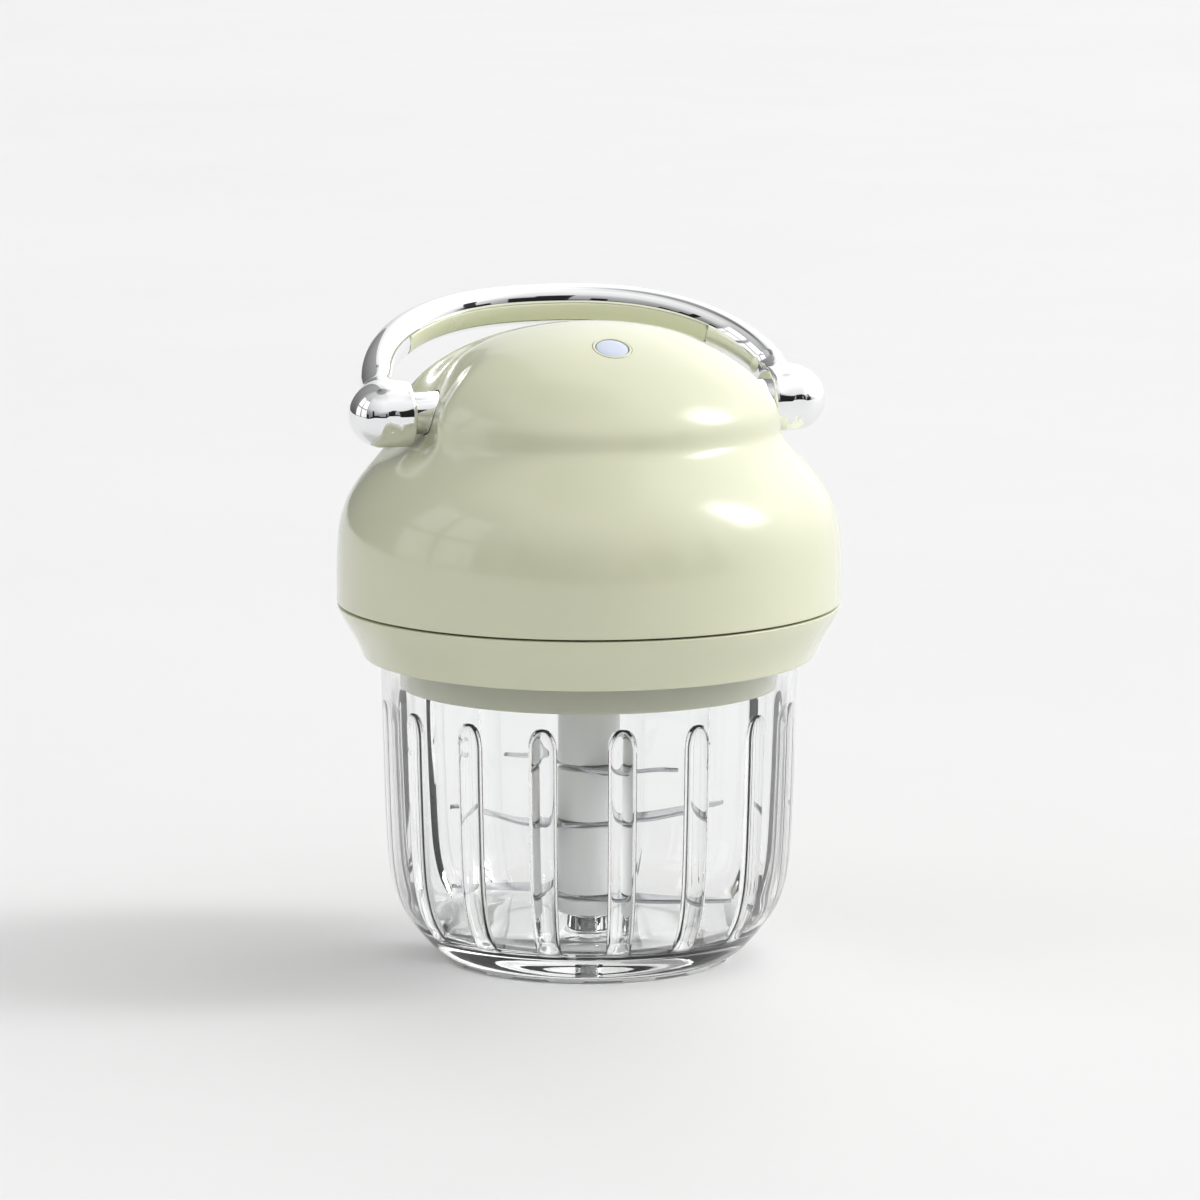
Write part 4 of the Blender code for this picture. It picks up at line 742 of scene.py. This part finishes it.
# ---------------------------------------------------------------- head
def dome_radius(share, turns):
    """Radius of the dome at a share of its height: flatter over X, rounder towards front and back."""
    towards_y = np.sin(turns) ** 2
    half = DOME_HALF_X + (DOME_HALF_Y - DOME_HALF_X) * towards_y
    power = 2.0 - 0.4 * towards_y
    falloff = 1.0 / power + (0.5 - 1.0 / power) * share**8
    return half * np.maximum(1.0 - share**power, 0.0) ** falloff


def pocket(turns, z):
    """Depth of the recess for each handle pivot."""
    share = (PIVOT_Z - DOME_FLOOR) / (DOME_TOP - DOME_FLOOR)
    depth = float(dome_radius(share, np.zeros(1))[0]) - POCKET_FLOOR_X
    from_axis = np.abs((turns + math.pi / 2) % math.pi - math.pi / 2)
    flat = (KNOB_RADIUS - 0.8 * MM) / DOME_HALF_X
    across = 1.0 - smooth_step((from_axis - flat) / (POCKET_BLEND / DOME_HALF_X))
    rising = smooth_step((z - (PIVOT_Z - KNOB_RADIUS - 6.4 * MM)) / (10.5 * MM))
    fading = 1.0 - smooth_step((z - PIVOT_Z - 5.0 * MM) / (DOME_TOP - PIVOT_Z - 6.0 * MM))
    return depth * across * rising * fading


def head_rows(turns, wall):
    """Rings of the upper cover from the split line to the pole, set in by a wall."""
    outline = [(HEAD_RADIUS, SHELL_LOW), (HEAD_RADIUS, SPLIT + 0.13 * BULGE_HEIGHT),
               (HEAD_RADIUS, SPLIT + 0.27 * BULGE_HEIGHT),
               (HEAD_RADIUS - 0.4 * MM, SPLIT + 0.43 * BULGE_HEIGHT),
               (HEAD_RADIUS - 2.1 * MM, SPLIT + 0.57 * BULGE_HEIGHT),
               (HEAD_RADIUS - 6.0 * MM, SPLIT + 0.71 * BULGE_HEIGHT),
               (HEAD_RADIUS - 11.6 * MM, SPLIT + 0.84 * BULGE_HEIGHT),
               (DOME_HALF_X + 0.9 * MM, SPLIT + 0.945 * BULGE_HEIGHT), (DOME_HALF_X - 0.9 * MM, VALLEY)]
    controls = []
    for radius, z in outline:
        narrowing = smooth_step((z - VALLEY + 13.0 * MM) / (13.0 * MM)) * np.sin(turns) ** 2
        controls.append(np.concatenate([[z], radius + (DOME_HALF_Y - DOME_HALF_X) * narrowing - wall]))
    rise = DOME_TOP - DOME_FLOOR - wall
    for step in range(1, 12):
        share = math.sin(math.radians(7.6 * step))
        radius = dome_radius(share, turns) - wall * (1 - share)
        controls.append(np.concatenate([[DOME_FLOOR + share * rise], radius]))
    controls.append(np.concatenate([[DOME_FLOOR + rise], np.zeros(len(turns))]))
    controls = np.array(controls)
    flipped = controls[-2].copy()
    flipped[1:] *= -1.0
    padded = np.vstack([2 * controls[0] - controls[1], controls, flipped])
    rows = []
    per_span = 7
    for span in range(len(controls) - 1):
        for k in range(per_span):
            found = spline_weights(k / per_span) @ padded[span : span + 4]
            z, radius = found[0], np.minimum(found[1:], HEAD_RADIUS - wall)
            radius = radius - pocket(turns, z)
            rows.append(ring_points(radius, z, turns))
    top = (4 * padded[-2][0] + 2 * padded[-1][0]) / 6
    rows.append(np.array([[0.0, 0.0, top]]))
    return rows


def button_frame():
    """Place and tilt of the button, from its CAD node and the direction it is pressed in."""
    axis = -Vector(joint("button_press")["axis"])
    ring_low, ring_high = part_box("button_ring")
    face = (ring_low + ring_high) / 2 + axis * SHELL_WALL / 2
    return Matrix.Translation(face) @ Matrix.Rotation(math.atan2(-axis.y, axis.z), 4, "X")


def make_upper_cover():
    count = 288
    turns = np.linspace(0.0, TAU, count, endpoint=False)
    outer = head_rows(turns, 0.0)
    inner = head_rows(turns, SHELL_WALL)
    edge = 0.3 * MM
    foot = circle_rows([(HEAD_RADIUS - SHELL_WALL, SHELL_LOW), (HEAD_RADIUS - edge, SHELL_LOW),
                        (HEAD_RADIUS - 0.09 * MM, SHELL_LOW + 0.09 * MM),
                        (HEAD_RADIUS, SHELL_LOW + edge)], count)
    rows = list(reversed(inner[1:])) + foot + outer[1:]
    cover = skin(rows)
    bore = AXLE_RADIUS + 0.35 * MM
    pivots = moved(rod(bore, HEAD_RADIUS, 128), about_x(1))
    ring = (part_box("button_ring")[1].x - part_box("button_ring")[0].x) / 2 + 0.12 * MM
    button = moved(rod(ring, 15 * MM, 96), button_frame())
    low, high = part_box("port_flap")
    middle = (low + high) / 2
    recess = rounded_block((high.x - low.x + 2 * GAP, 30 * MM, high.z - low.z + 2 * GAP),
                           (middle.x, low.y - GAP + 15 * MM, middle.z), 2.2 * MM)
    port_low, port_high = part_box("charging_socket")
    port_middle = (port_low + port_high) / 2
    port = rounded_block((port_high.x - port_low.x + 3 * GAP, 30 * MM, port_high.z - port_low.z + 3 * GAP),
                         (port_middle.x, HEAD_RADIUS, port_middle.z), 1.6 * MM)
    cover = cut_from(cover, [pivots, button, recess, port])
    piece("head_cover", cover, "sage_plastic", "head", "upper_shell", sharp=36.0)


def make_lower_cover():
    opening = 9.0 * MM
    floor_low, floor_high = BOWL_TOP + 0.4 * MM, BOWL_TOP + 2.6 * MM
    lip_inner = BOWL_RADIUS + 0.6 * MM
    rise = SPLIT - SKIRT_LOW
    side = b_spline([
        (lip_inner + 4.4 * MM, SKIRT_LOW + 0.6 * MM), (lip_inner + 5.3 * MM, SKIRT_LOW + 0.2 * rise),
        (HEAD_RADIUS - 4.5 * MM, SKIRT_LOW + 0.43 * rise), (HEAD_RADIUS - 2.1 * MM, SKIRT_LOW + 0.68 * rise),
        (HEAD_RADIUS - 0.5 * MM, SKIRT_LOW + 0.88 * rise), (HEAD_RADIUS - 0.1 * MM, SKIRT_TOP - 0.3 * MM)], 6)
    start = filleted([(lip_inner + 1.5 * MM, SKIRT_LOW), (lip_inner + 4.1 * MM, SKIRT_LOW, 0.6 * MM),
                      tuple(side[0])])
    outline = filleted([(opening, floor_low), (lip_inner, floor_low, 0.5 * MM),
                        (lip_inner, SKIRT_LOW, 0.4 * MM), (lip_inner + 1.5 * MM, SKIRT_LOW)])
    outline += start[1:-1] + [tuple(p) for p in side]
    outline += [(HEAD_RADIUS - 0.2 * MM, SKIRT_TOP - 0.09 * MM), (HEAD_RADIUS - 0.42 * MM, SKIRT_TOP)]
    outline += filleted([(HEAD_RADIUS - 0.42 * MM, SKIRT_TOP), (HEAD_RADIUS - 3.5 * MM, SKIRT_TOP, 0.3 * MM),
                         (HEAD_RADIUS - 8.5 * MM, floor_high, 1.0 * MM), (opening, floor_high)])[1:]
    cover = turned(outline, 288)
    screws = []
    for name in ("case_screw_1", "case_screw_2", "case_screw_3", "case_screw_4"):
        low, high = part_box(name)
        place = Matrix.Translation(((low.x + high.x) / 2, (low.y + high.y) / 2, floor_low))
        screws.append(moved(rod(1.7 * MM, 5 * MM, 32), place))
    piece("head_skirt", cut_from(cover, screws), "sage_plastic", "head", "lower_shell", sharp=36.0)


def make_mouth_ring():
    """The ring that drops into the bowl's mouth, with the seal round it."""
    wall, plate, opening = 2.5 * MM, 2.2 * MM, HUB_RADIUS + 5.0 * MM
    outline = filleted([
        (PLUG_RADIUS - wall, PLUG_LOW, 0.8 * MM), (PLUG_RADIUS, PLUG_LOW, 1.0 * MM),
        (PLUG_RADIUS, PLUG_TOP, 0.3 * MM), (opening, PLUG_TOP, 0.3 * MM),
        (opening, PLUG_TOP - plate, 0.5 * MM),
        (PLUG_RADIUS - wall, PLUG_TOP - plate, 1.2 * MM)], closed=True)
    piece("mouth_ring", turned(outline, 256), "sage_plastic", "head", "neck_plug")
    low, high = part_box("neck_seal")
    inner, outer = PLUG_RADIUS + GAP, reach_of("neck_seal")
    lips = []
    for k in range(25):
        share = k / 24
        bulge = abs(math.sin(math.pi * 2.0 * share)) ** 0.6
        lips.append((outer - 0.9 * MM * (1.0 - bulge), low.z + (high.z - low.z) * share))
    outline = [(inner, low.z), *lips, (inner, high.z)]
    piece("mouth_seal", turned(outline, 192), "seal_rubber", "head", "neck_seal", sharp=50.0)


def make_collars():
    """Bushes that the handle's axles turn in, behind the cover's wall."""
    bore = AXLE_RADIUS + GAP
    face = COLLAR_LOW_X + 1.8 * MM
    for label, side in (("right", 1), ("left", -1)):
        outline = filleted([(bore, COLLAR_LOW_X, 0.2 * MM), (COLLAR_RADIUS, COLLAR_LOW_X, 0.2 * MM),
                            (COLLAR_RADIUS, face, 0.5 * MM), (bore, face, 0.2 * MM)], closed=True)
        mesh = moved(turned(outline, 96), about_x(side))
        piece(f"pivot_bush_{label}", mesh, "sage_plastic", "head", f"pivot_collar_{label}")


def make_button():
    low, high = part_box("power_button")
    radius = (high.x - low.x) / 2
    depth = 5.0 * MM
    outline = filleted([(0.0, -depth), (radius, -depth, 0.2 * MM), (radius, -0.15 * MM, 0.45 * MM),
                        (radius * 0.6, 0.12 * MM, 4.0 * MM), (0.0, 0.2 * MM)], step=12.0)
    piece("start_button", moved(turned(outline, 96), button_frame()), "button_blue", "power_button_body",
          "power_button")
    outer = (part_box("button_ring")[1].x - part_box("button_ring")[0].x) / 2
    inner = radius + 0.2 * MM
    ring = filleted([(inner, -SHELL_WALL, 0.1 * MM), (outer, -SHELL_WALL, 0.1 * MM), (outer, 0.0, 0.25 * MM),
                     (inner, 0.0, 0.25 * MM)], closed=True)
    pale = sage_plastic("bezel_gloss", 0.12, 0.9)
    bezel = moved(turned(ring, 96), button_frame())
    piece("button_bezel", bezel, "sage_plastic", "head", "button_ring", finish=pale)


def make_port_cover():
    """A soft cover over the charging port: a block with round corners and rounded edges, with a finger notch."""
    low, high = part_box("port_flap")
    middle = (low + high) / 2
    mesh = rounded_block((high.x - low.x, high.y - low.y, high.z - low.z), tuple(middle), 1.9 * MM, steps=10)
    notch = rounded_block((5.0 * MM, 1.2 * MM, 1.6 * MM), (middle.x, high.y, low.z + 1.9 * MM), 0.75 * MM)
    mesh = bevelled(cut_from(mesh, [notch]), 0.3 * MM)
    finish = moulded("port_cover_rubber", (0.66, 0.71, 0.52), 0.42, 0.06, 1500.0, 0.015 * MM, 0.015)
    piece("port_cover", mesh, "sage_plastic", "port_flap_body", "port_flap", finish=finish)


# ---------------------------------------------------------------- handle
def bail_curve():
    """Middle line of the bail in its upright plane, evenly spaced: places and unit directions."""
    turn = np.linspace(0.0, math.pi, 20001)
    x = HANDLE_HALF_SPAN * np.sign(np.cos(turn)) * np.abs(np.cos(turn)) ** HANDLE_POWER
    t = HANDLE_REACH * np.sin(turn) ** HANDLE_POWER
    gone = np.concatenate([[0.0], np.cumsum(np.hypot(np.diff(x), np.diff(t)))])
    return gone, x, t


GONE, CURVE_X, CURVE_T = bail_curve()


def on_curve(distance):
    x, t = np.interp(distance, GONE, CURVE_X), np.interp(distance, GONE, CURVE_T)
    step = 0.4 * MM
    low, high = np.maximum(distance - step, 0.0), np.minimum(distance + step, GONE[-1])
    along_x = np.interp(high, GONE, CURVE_X) - np.interp(low, GONE, CURVE_X)
    along_t = np.interp(high, GONE, CURVE_T) - np.interp(low, GONE, CURVE_T)
    size = np.hypot(along_x, along_t)
    return x, t, along_x / size, along_t / size


def curve_point(distance):
    """Place and unit direction of the bail's middle line at one distance, as plain numbers."""
    return (float(value) for value in on_curve(np.array(distance)))


LEG_SAMPLES = np.linspace(0.0, 34.0 * MM, 90)
LEG_X, LEG_T, LEG_AX, LEG_AT = on_curve(LEG_SAMPLES)
KNOB_EDGE = 1.1 * MM
LEG_BLEND = 7.5 * MM


def handle_field(x, y, t):
    """Below zero inside the right knob and leg, which run into each other over a fillet."""
    across = np.hypot(y, t)
    ball = np.hypot(x - KNOB_BALL_X, across) - KNOB_RADIUS
    qx, qr = KNOB_INNER_X + KNOB_EDGE - x, across - (KNOB_RADIUS - KNOB_EDGE)
    beyond = np.hypot(np.maximum(qx, 0.0), np.maximum(qr, 0.0))
    drum = np.minimum(np.maximum(qx, qr), 0.0) + beyond - KNOB_EDGE
    knob = np.where(x > KNOB_BALL_X, ball, drum)
    dx, dt = x[..., None] - LEG_X, t[..., None] - LEG_T
    nearest = np.argmin(dx * dx + dt * dt, axis=-1)
    ox, ot = LEG_AT[nearest], -LEG_AX[nearest]
    out = (x - LEG_X[nearest]) * ox + (t - LEG_T[nearest]) * ot
    along = (x - LEG_X[nearest]) * LEG_AX[nearest] + (t - LEG_T[nearest]) * LEG_AT[nearest]
    oval = np.sqrt((out / BAIL_HALF_THICKNESS) ** 2 + (y / BAIL_HALF_WIDTH) ** 2 + 1e-12)
    leg = (oval - 1.0) * 5.4 * MM
    leg = np.where(nearest == 0, np.hypot(np.maximum(leg, 0.0), np.abs(along)) + np.minimum(leg, 0.0), leg)
    share = np.clip(0.5 + 0.5 * (leg - knob) / LEG_BLEND, 0.0, 1.0)
    return leg * (1 - share) + knob * share - LEG_BLEND * share * (1 - share) * 0.55


def cast(cx, ct, ux, uy, ut, reach=26.0 * MM):
    """Distance from inside the knob or leg out to its surface along each direction."""
    steps = np.linspace(0.0, reach, 66)
    found = np.full(ux.shape, reach)
    done = np.zeros(ux.shape, bool)
    low = np.zeros(ux.shape)
    for step in steps[1:]:
        outside = handle_field(cx + ux * step, uy * step, ct + ut * step) > 0.0
        fresh = outside & ~done
        found[fresh] = step
        done |= outside
        low[~done] = step
    high = found
    for _ in range(22):
        middle = (low + high) / 2
        outside = handle_field(cx + ux * middle, uy * middle, ct + ut * middle) > 0.0
        high = np.where(outside, middle, high)
        low = np.where(outside, low, middle)
    return (low + high) / 2


def bail_columns():
    """Section parameters round the bail; columns stand in pairs where the grip's groove has its corners."""
    corner = math.asin((GRIP_HALF_WIDTH + 0.15 * MM) / BAIL_HALF_WIDTH)
    plain = np.linspace(-math.pi + corner, math.pi - corner, 113)
    groove = np.linspace(math.pi - corner, math.pi + corner, 27)[1:-1]
    columns = np.concatenate([plain, [math.pi - corner + 1e-4], groove, [math.pi + corner - 1e-4]])
    inside = np.concatenate([np.zeros(len(plain), bool), np.ones(len(groove) + 2, bool)])
    return columns, inside


def bail_rows():
    """Rows of the whole bail in its upright plane, from the right knob's far side to the left's."""
    columns, inside = bail_columns()
    angle = np.arctan2(BAIL_HALF_WIDTH * np.sin(columns), BAIL_HALF_THICKNESS * np.cos(columns))
    rows = [np.array([[HANDLE_HALF_SPAN, 0.0, -KNOB_RADIUS]])]
    for tilt in np.radians(np.linspace(178.0, 52.0, 85)):
        ux, uy = np.sin(tilt) * np.cos(angle), np.sin(tilt) * np.sin(angle)
        ut = np.full(angle.shape, np.cos(tilt))
        r = cast(HANDLE_HALF_SPAN, 0.0, ux, uy, ut)
        rows.append(np.column_stack([HANDLE_HALF_SPAN + ux * r, uy * r, ut * r]))
    climb = 22.0 * MM
    for share in np.linspace(0.0, 1.0, 46)[1:]:
        distance = climb * share
        tilt = math.radians(52.0 + 38.0 * float(smooth_step(share * 1.15)))
        cx, ct, ax, at = curve_point(distance)
        if share < 0.15:
            ct, cx = distance, HANDLE_HALF_SPAN + (cx - HANDLE_HALF_SPAN) * share / 0.15
        ux = math.sin(tilt) * np.cos(angle) * at + math.cos(tilt) * ax
        ut = -math.sin(tilt) * np.cos(angle) * ax + math.cos(tilt) * at
        uy = math.sin(tilt) * np.sin(angle)
        r = cast(cx, ct, ux, uy, ut)
        rows.append(np.column_stack([cx + ux * r, uy * r, ct + ut * r]))
    grip_start = float(np.interp(-GRIP_END_X, -CURVE_X, GONE))
    plain = np.linspace(climb, grip_start, 14)[1:-1]
    arch = np.linspace(grip_start, GONE[-1] / 2, 90)
    stations = [(d, False) for d in (*plain, grip_start - 0.02 * MM)] + [(d, True) for d in arch]
    for distance, grooved in stations:
        cx, ct, ax, at = curve_point(distance)
        out = BAIL_HALF_THICKNESS * np.cos(columns)
        y = BAIL_HALF_WIDTH * np.sin(columns)
        if grooved:
            out = np.where(inside, np.maximum(out, -(BAIL_HALF_THICKNESS - GRIP_THICKNESS - 0.1 * MM)), out)
        rows.append(np.column_stack([cx + out * at, y, ct - out * ax]))
    mirrored = []
    for row in reversed(rows[:-1]):
        flipped = row.copy()
        flipped[:, 0] *= -1.0
        mirrored.append(flipped)
    return rows + mirrored


def handle_place():
    return Matrix.Translation((0.0, 0.0, PIVOT_Z)) @ Matrix.Rotation(-HANDLE_LEAN, 4, "X")


def make_handle():
    mesh = moved(skin(bail_rows()), handle_place())
    piece("carry_handle", mesh, "chrome", "handle", "handle_bail", "handle_eye_left", "handle_eye_right",
          "knob_cap_left", "knob_cap_right", sharp=55.0)
    make_grip()
    for label, side in (("right", 1), ("left", -1)):
        low, high = (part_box("handle_axle_right")[i].x for i in (0, 1))
        outline = filleted([(0.0, low), (AXLE_RADIUS, low, 0.4 * MM), (AXLE_RADIUS, high, 0.3 * MM),
                            (0.0, high)])
        mesh = moved(turned(outline, 96), about_x(side))
        piece(f"polished_axle_{label}", mesh, "steel", "handle", f"handle_axle_{label}",
              finish=FINISHES["chrome"])


def make_grip():
    """Grip strip let into the bail's inner side, crowned to follow the oval."""
    start = float(np.interp(-GRIP_END_X, -CURVE_X, GONE)) + 0.15 * MM
    outline = []
    floor = -(BAIL_HALF_THICKNESS - GRIP_THICKNESS)
    for share in np.linspace(-1.0, 1.0, 21):
        y = GRIP_HALF_WIDTH * share
        edge = 0.35 * MM * max(abs(share) - 0.9, 0.0) / 0.1
        out = -BAIL_HALF_THICKNESS * math.sqrt(1.0 - (y / BAIL_HALF_WIDTH) ** 2) - 0.15 * MM + edge
        outline.append((out, y))
    outline += [(floor, GRIP_HALF_WIDTH), (floor, -GRIP_HALF_WIDTH)]
    rows = []
    distances = np.linspace(start, GONE[-1] - start, 200)
    for distance in distances:
        cx, ct, ax, at = curve_point(distance)
        end = min(distance - start, GONE[-1] - start - distance)
        shrink = math.sqrt(max(1.0 - max(1.0 - end / (1.2 * MM), 0.0) ** 2, 0.3))
        rows.append([(cx + out * at, y * shrink, ct - out * ax) for out, y in outline])
    # The grip's sage is painted lighter than the body's sage: painted light on a strip that faces down into the
    # bail's shade.
    painted_light_grip = moulded("grip_painted_light", (0.80, 0.82, 0.62), 0.24, 0.05, 500.0, 0.012 * MM, 0.012, 0.5)
    piece("grip_strip", moved(skin_with_caps(rows), handle_place()), "sage_plastic", "handle", "grip_insert",
          finish=painted_light_grip)


# ---------------------------------------------------------------- floor, lights and surroundings
def make_floor():
    nodes = Nodes("studio_floor")
    tone = nodes.ramp(nodes.noise(3.0, 3.0), [(0.3, (0.745, 0.745, 0.745)), (0.7, (0.76, 0.76, 0.76))])
    gloss = nodes.span(nodes.noise(12.0, 3.0), 0.55, 0.7)
    nodes.finish(tone, gloss, nodes.bump(nodes.noise(900.0), 0.02 * MM, 0.3))
    mesh = bpy.data.meshes.new("floor")
    half, front = 14.0, 2.0
    mesh.from_pydata([(-half, -front, 0.0), (half, -front, 0.0), (half, half, 0.0), (-half, half, 0.0)], [],
                     [(0, 1, 2, 3)])
    mesh.materials.append(nodes.material)
    floor = added("floor", mesh)


def make_lights():
    """A round key lamp; the rest of the soft light comes from the panels of the room."""
    data = bpy.data.lights.new("key", "SUN")
    data.energy = 0.45
    data.angle = math.radians(15.0)
    key = added("key", data)
    key.rotation_mode = "QUATERNION"
    key.rotation_quaternion = (-look_from(76.0, 41.0)).to_track_quat("-Z", "Y")


class Room:
    """Node tree of the room that lights the object and shows in its reflections."""

    def __init__(self):
        world = bpy.data.worlds.new("studio")
        bpy.context.scene.world = world
        world.use_nodes = True
        self.tree = world.node_tree
        self.tree.nodes.clear()
        coordinates = self.tree.nodes.new("ShaderNodeTexCoord")
        parts = self.tree.nodes.new("ShaderNodeSeparateXYZ")
        self.tree.links.new(coordinates.outputs["Generated"], parts.inputs[0])
        self.x, self.y, self.z = parts.outputs
        self.azimuth = self.maths("ARCTAN2", self.x, self.maths("MULTIPLY", self.y, -1.0))
        self.elevation = self.maths("ARCSINE", self.z)

    def maths(self, operation, a, b=0.0, clamp=False):
        return math_node(self.tree, operation, a, b, clamp)

    def within(self, value, middle, half, edge):
        """One inside middle +- half, in degrees, fading to zero over edge."""
        away = self.maths("ABSOLUTE", self.maths("SUBTRACT", value, math.radians(middle)))
        over = self.maths("SUBTRACT", math.radians(half + edge / 2), away)
        return self.maths("DIVIDE", over, math.radians(edge), clamp=True)

    def panel(self, azimuth, elevation, half_width, half_height, edge):
        return self.maths("MULTIPLY", self.within(self.azimuth, azimuth, half_width, edge),
                          self.within(self.elevation, elevation, half_height, edge))

    def add(self, base, mask, amount):
        return self.maths("ADD", base, self.maths("MULTIPLY", mask, amount))


def make_world():
    """Pale room: even for the camera, with panels, a window and dark shapes for reflections."""
    room = Room()
    maths = room.maths
    up = maths("MAXIMUM", room.z, 0.0)
    to_left = room.within(room.azimuth, -90.0, 50.0, 70.0)
    behind_left = room.within(room.azimuth, -180.0, 62.0, 30.0)
    light = maths("ADD", maths("MULTIPLY", up, 0.60), 0.31)
    light = room.add(light, to_left, -0.22)
    light = maths("MULTIPLY", light, maths("SUBTRACT", 1.0, maths("MULTIPLY", behind_left, 0.5)))
    light = room.add(light, room.panel(76.0, 41.0, 9.0, 13.0, 9.0), 6.2)
    light = room.add(light, room.panel(94.0, 30.0, 40.0, 28.0, 60.0), 1.7)
    for azimuth in (-106.0, -82.0):
        for elevation in (11.0, 35.0):
            light = room.add(light, room.panel(azimuth, elevation, 10.0, 10.5, 2.0), 0.95)
    light = room.add(light, room.panel(150.0, 24.0, 24.0, 30.0, 24.0), 0.6)
    light = room.add(light, room.panel(0.0, 42.0, 70.0, 18.0, 12.0), 0.25)
    zenith = maths("MULTIPLY", maths("SUBTRACT", room.z, 0.955), 40.0, clamp=True)
    light = maths("MULTIPLY", light, maths("SUBTRACT", 1.0, maths("MULTIPLY", zenith, 0.6)))
    cell = maths("FLOOR", maths("MULTIPLY", room.azimuth, 9.0))
    height = room.tree.nodes.new("ShaderNodeTexWhiteNoise")
    height.noise_dimensions = "1D"
    room.tree.links.new(cell, height.inputs["W"])
    skyline = maths("MULTIPLY", maths("POWER", height.outputs["Value"], 2.2), 0.55)
    below = maths("MULTIPLY", maths("SUBTRACT", skyline, room.z), 60.0, clamp=True)
    in_front = room.within(room.azimuth, -14.0, 62.0, 8.0)
    dark = maths("MULTIPLY", below, in_front)
    light = maths("MULTIPLY", light, maths("SUBTRACT", 1.0, maths("MULTIPLY", dark, 0.95)))
    seen = room.tree.nodes.new("ShaderNodeBackground")
    room.tree.links.new(light, seen.inputs["Color"])
    plain = room.tree.nodes.new("ShaderNodeBackground")
    plain.inputs["Color"].default_value = (0.93, 0.93, 0.93, 1.0)
    path = room.tree.nodes.new("ShaderNodeLightPath")
    both = room.tree.nodes.new("ShaderNodeMixShader")
    room.tree.links.new(path.outputs["Is Camera Ray"], both.inputs[0])
    room.tree.links.new(seen.outputs[0], both.inputs[1])
    room.tree.links.new(plain.outputs[0], both.inputs[2])
    output = room.tree.nodes.new("ShaderNodeOutputWorld")
    room.tree.links.new(both.outputs[0], output.inputs["Surface"])


make_floor()
make_lights()
make_world()
bpy.context.scene.view_settings.view_transform = "Standard"

make_bowl()
make_foot_pads()
make_hub()
make_blades()
make_upper_cover()
make_lower_cover()
make_mouth_ring()
make_collars()
make_button()
make_port_cover()
make_handle()
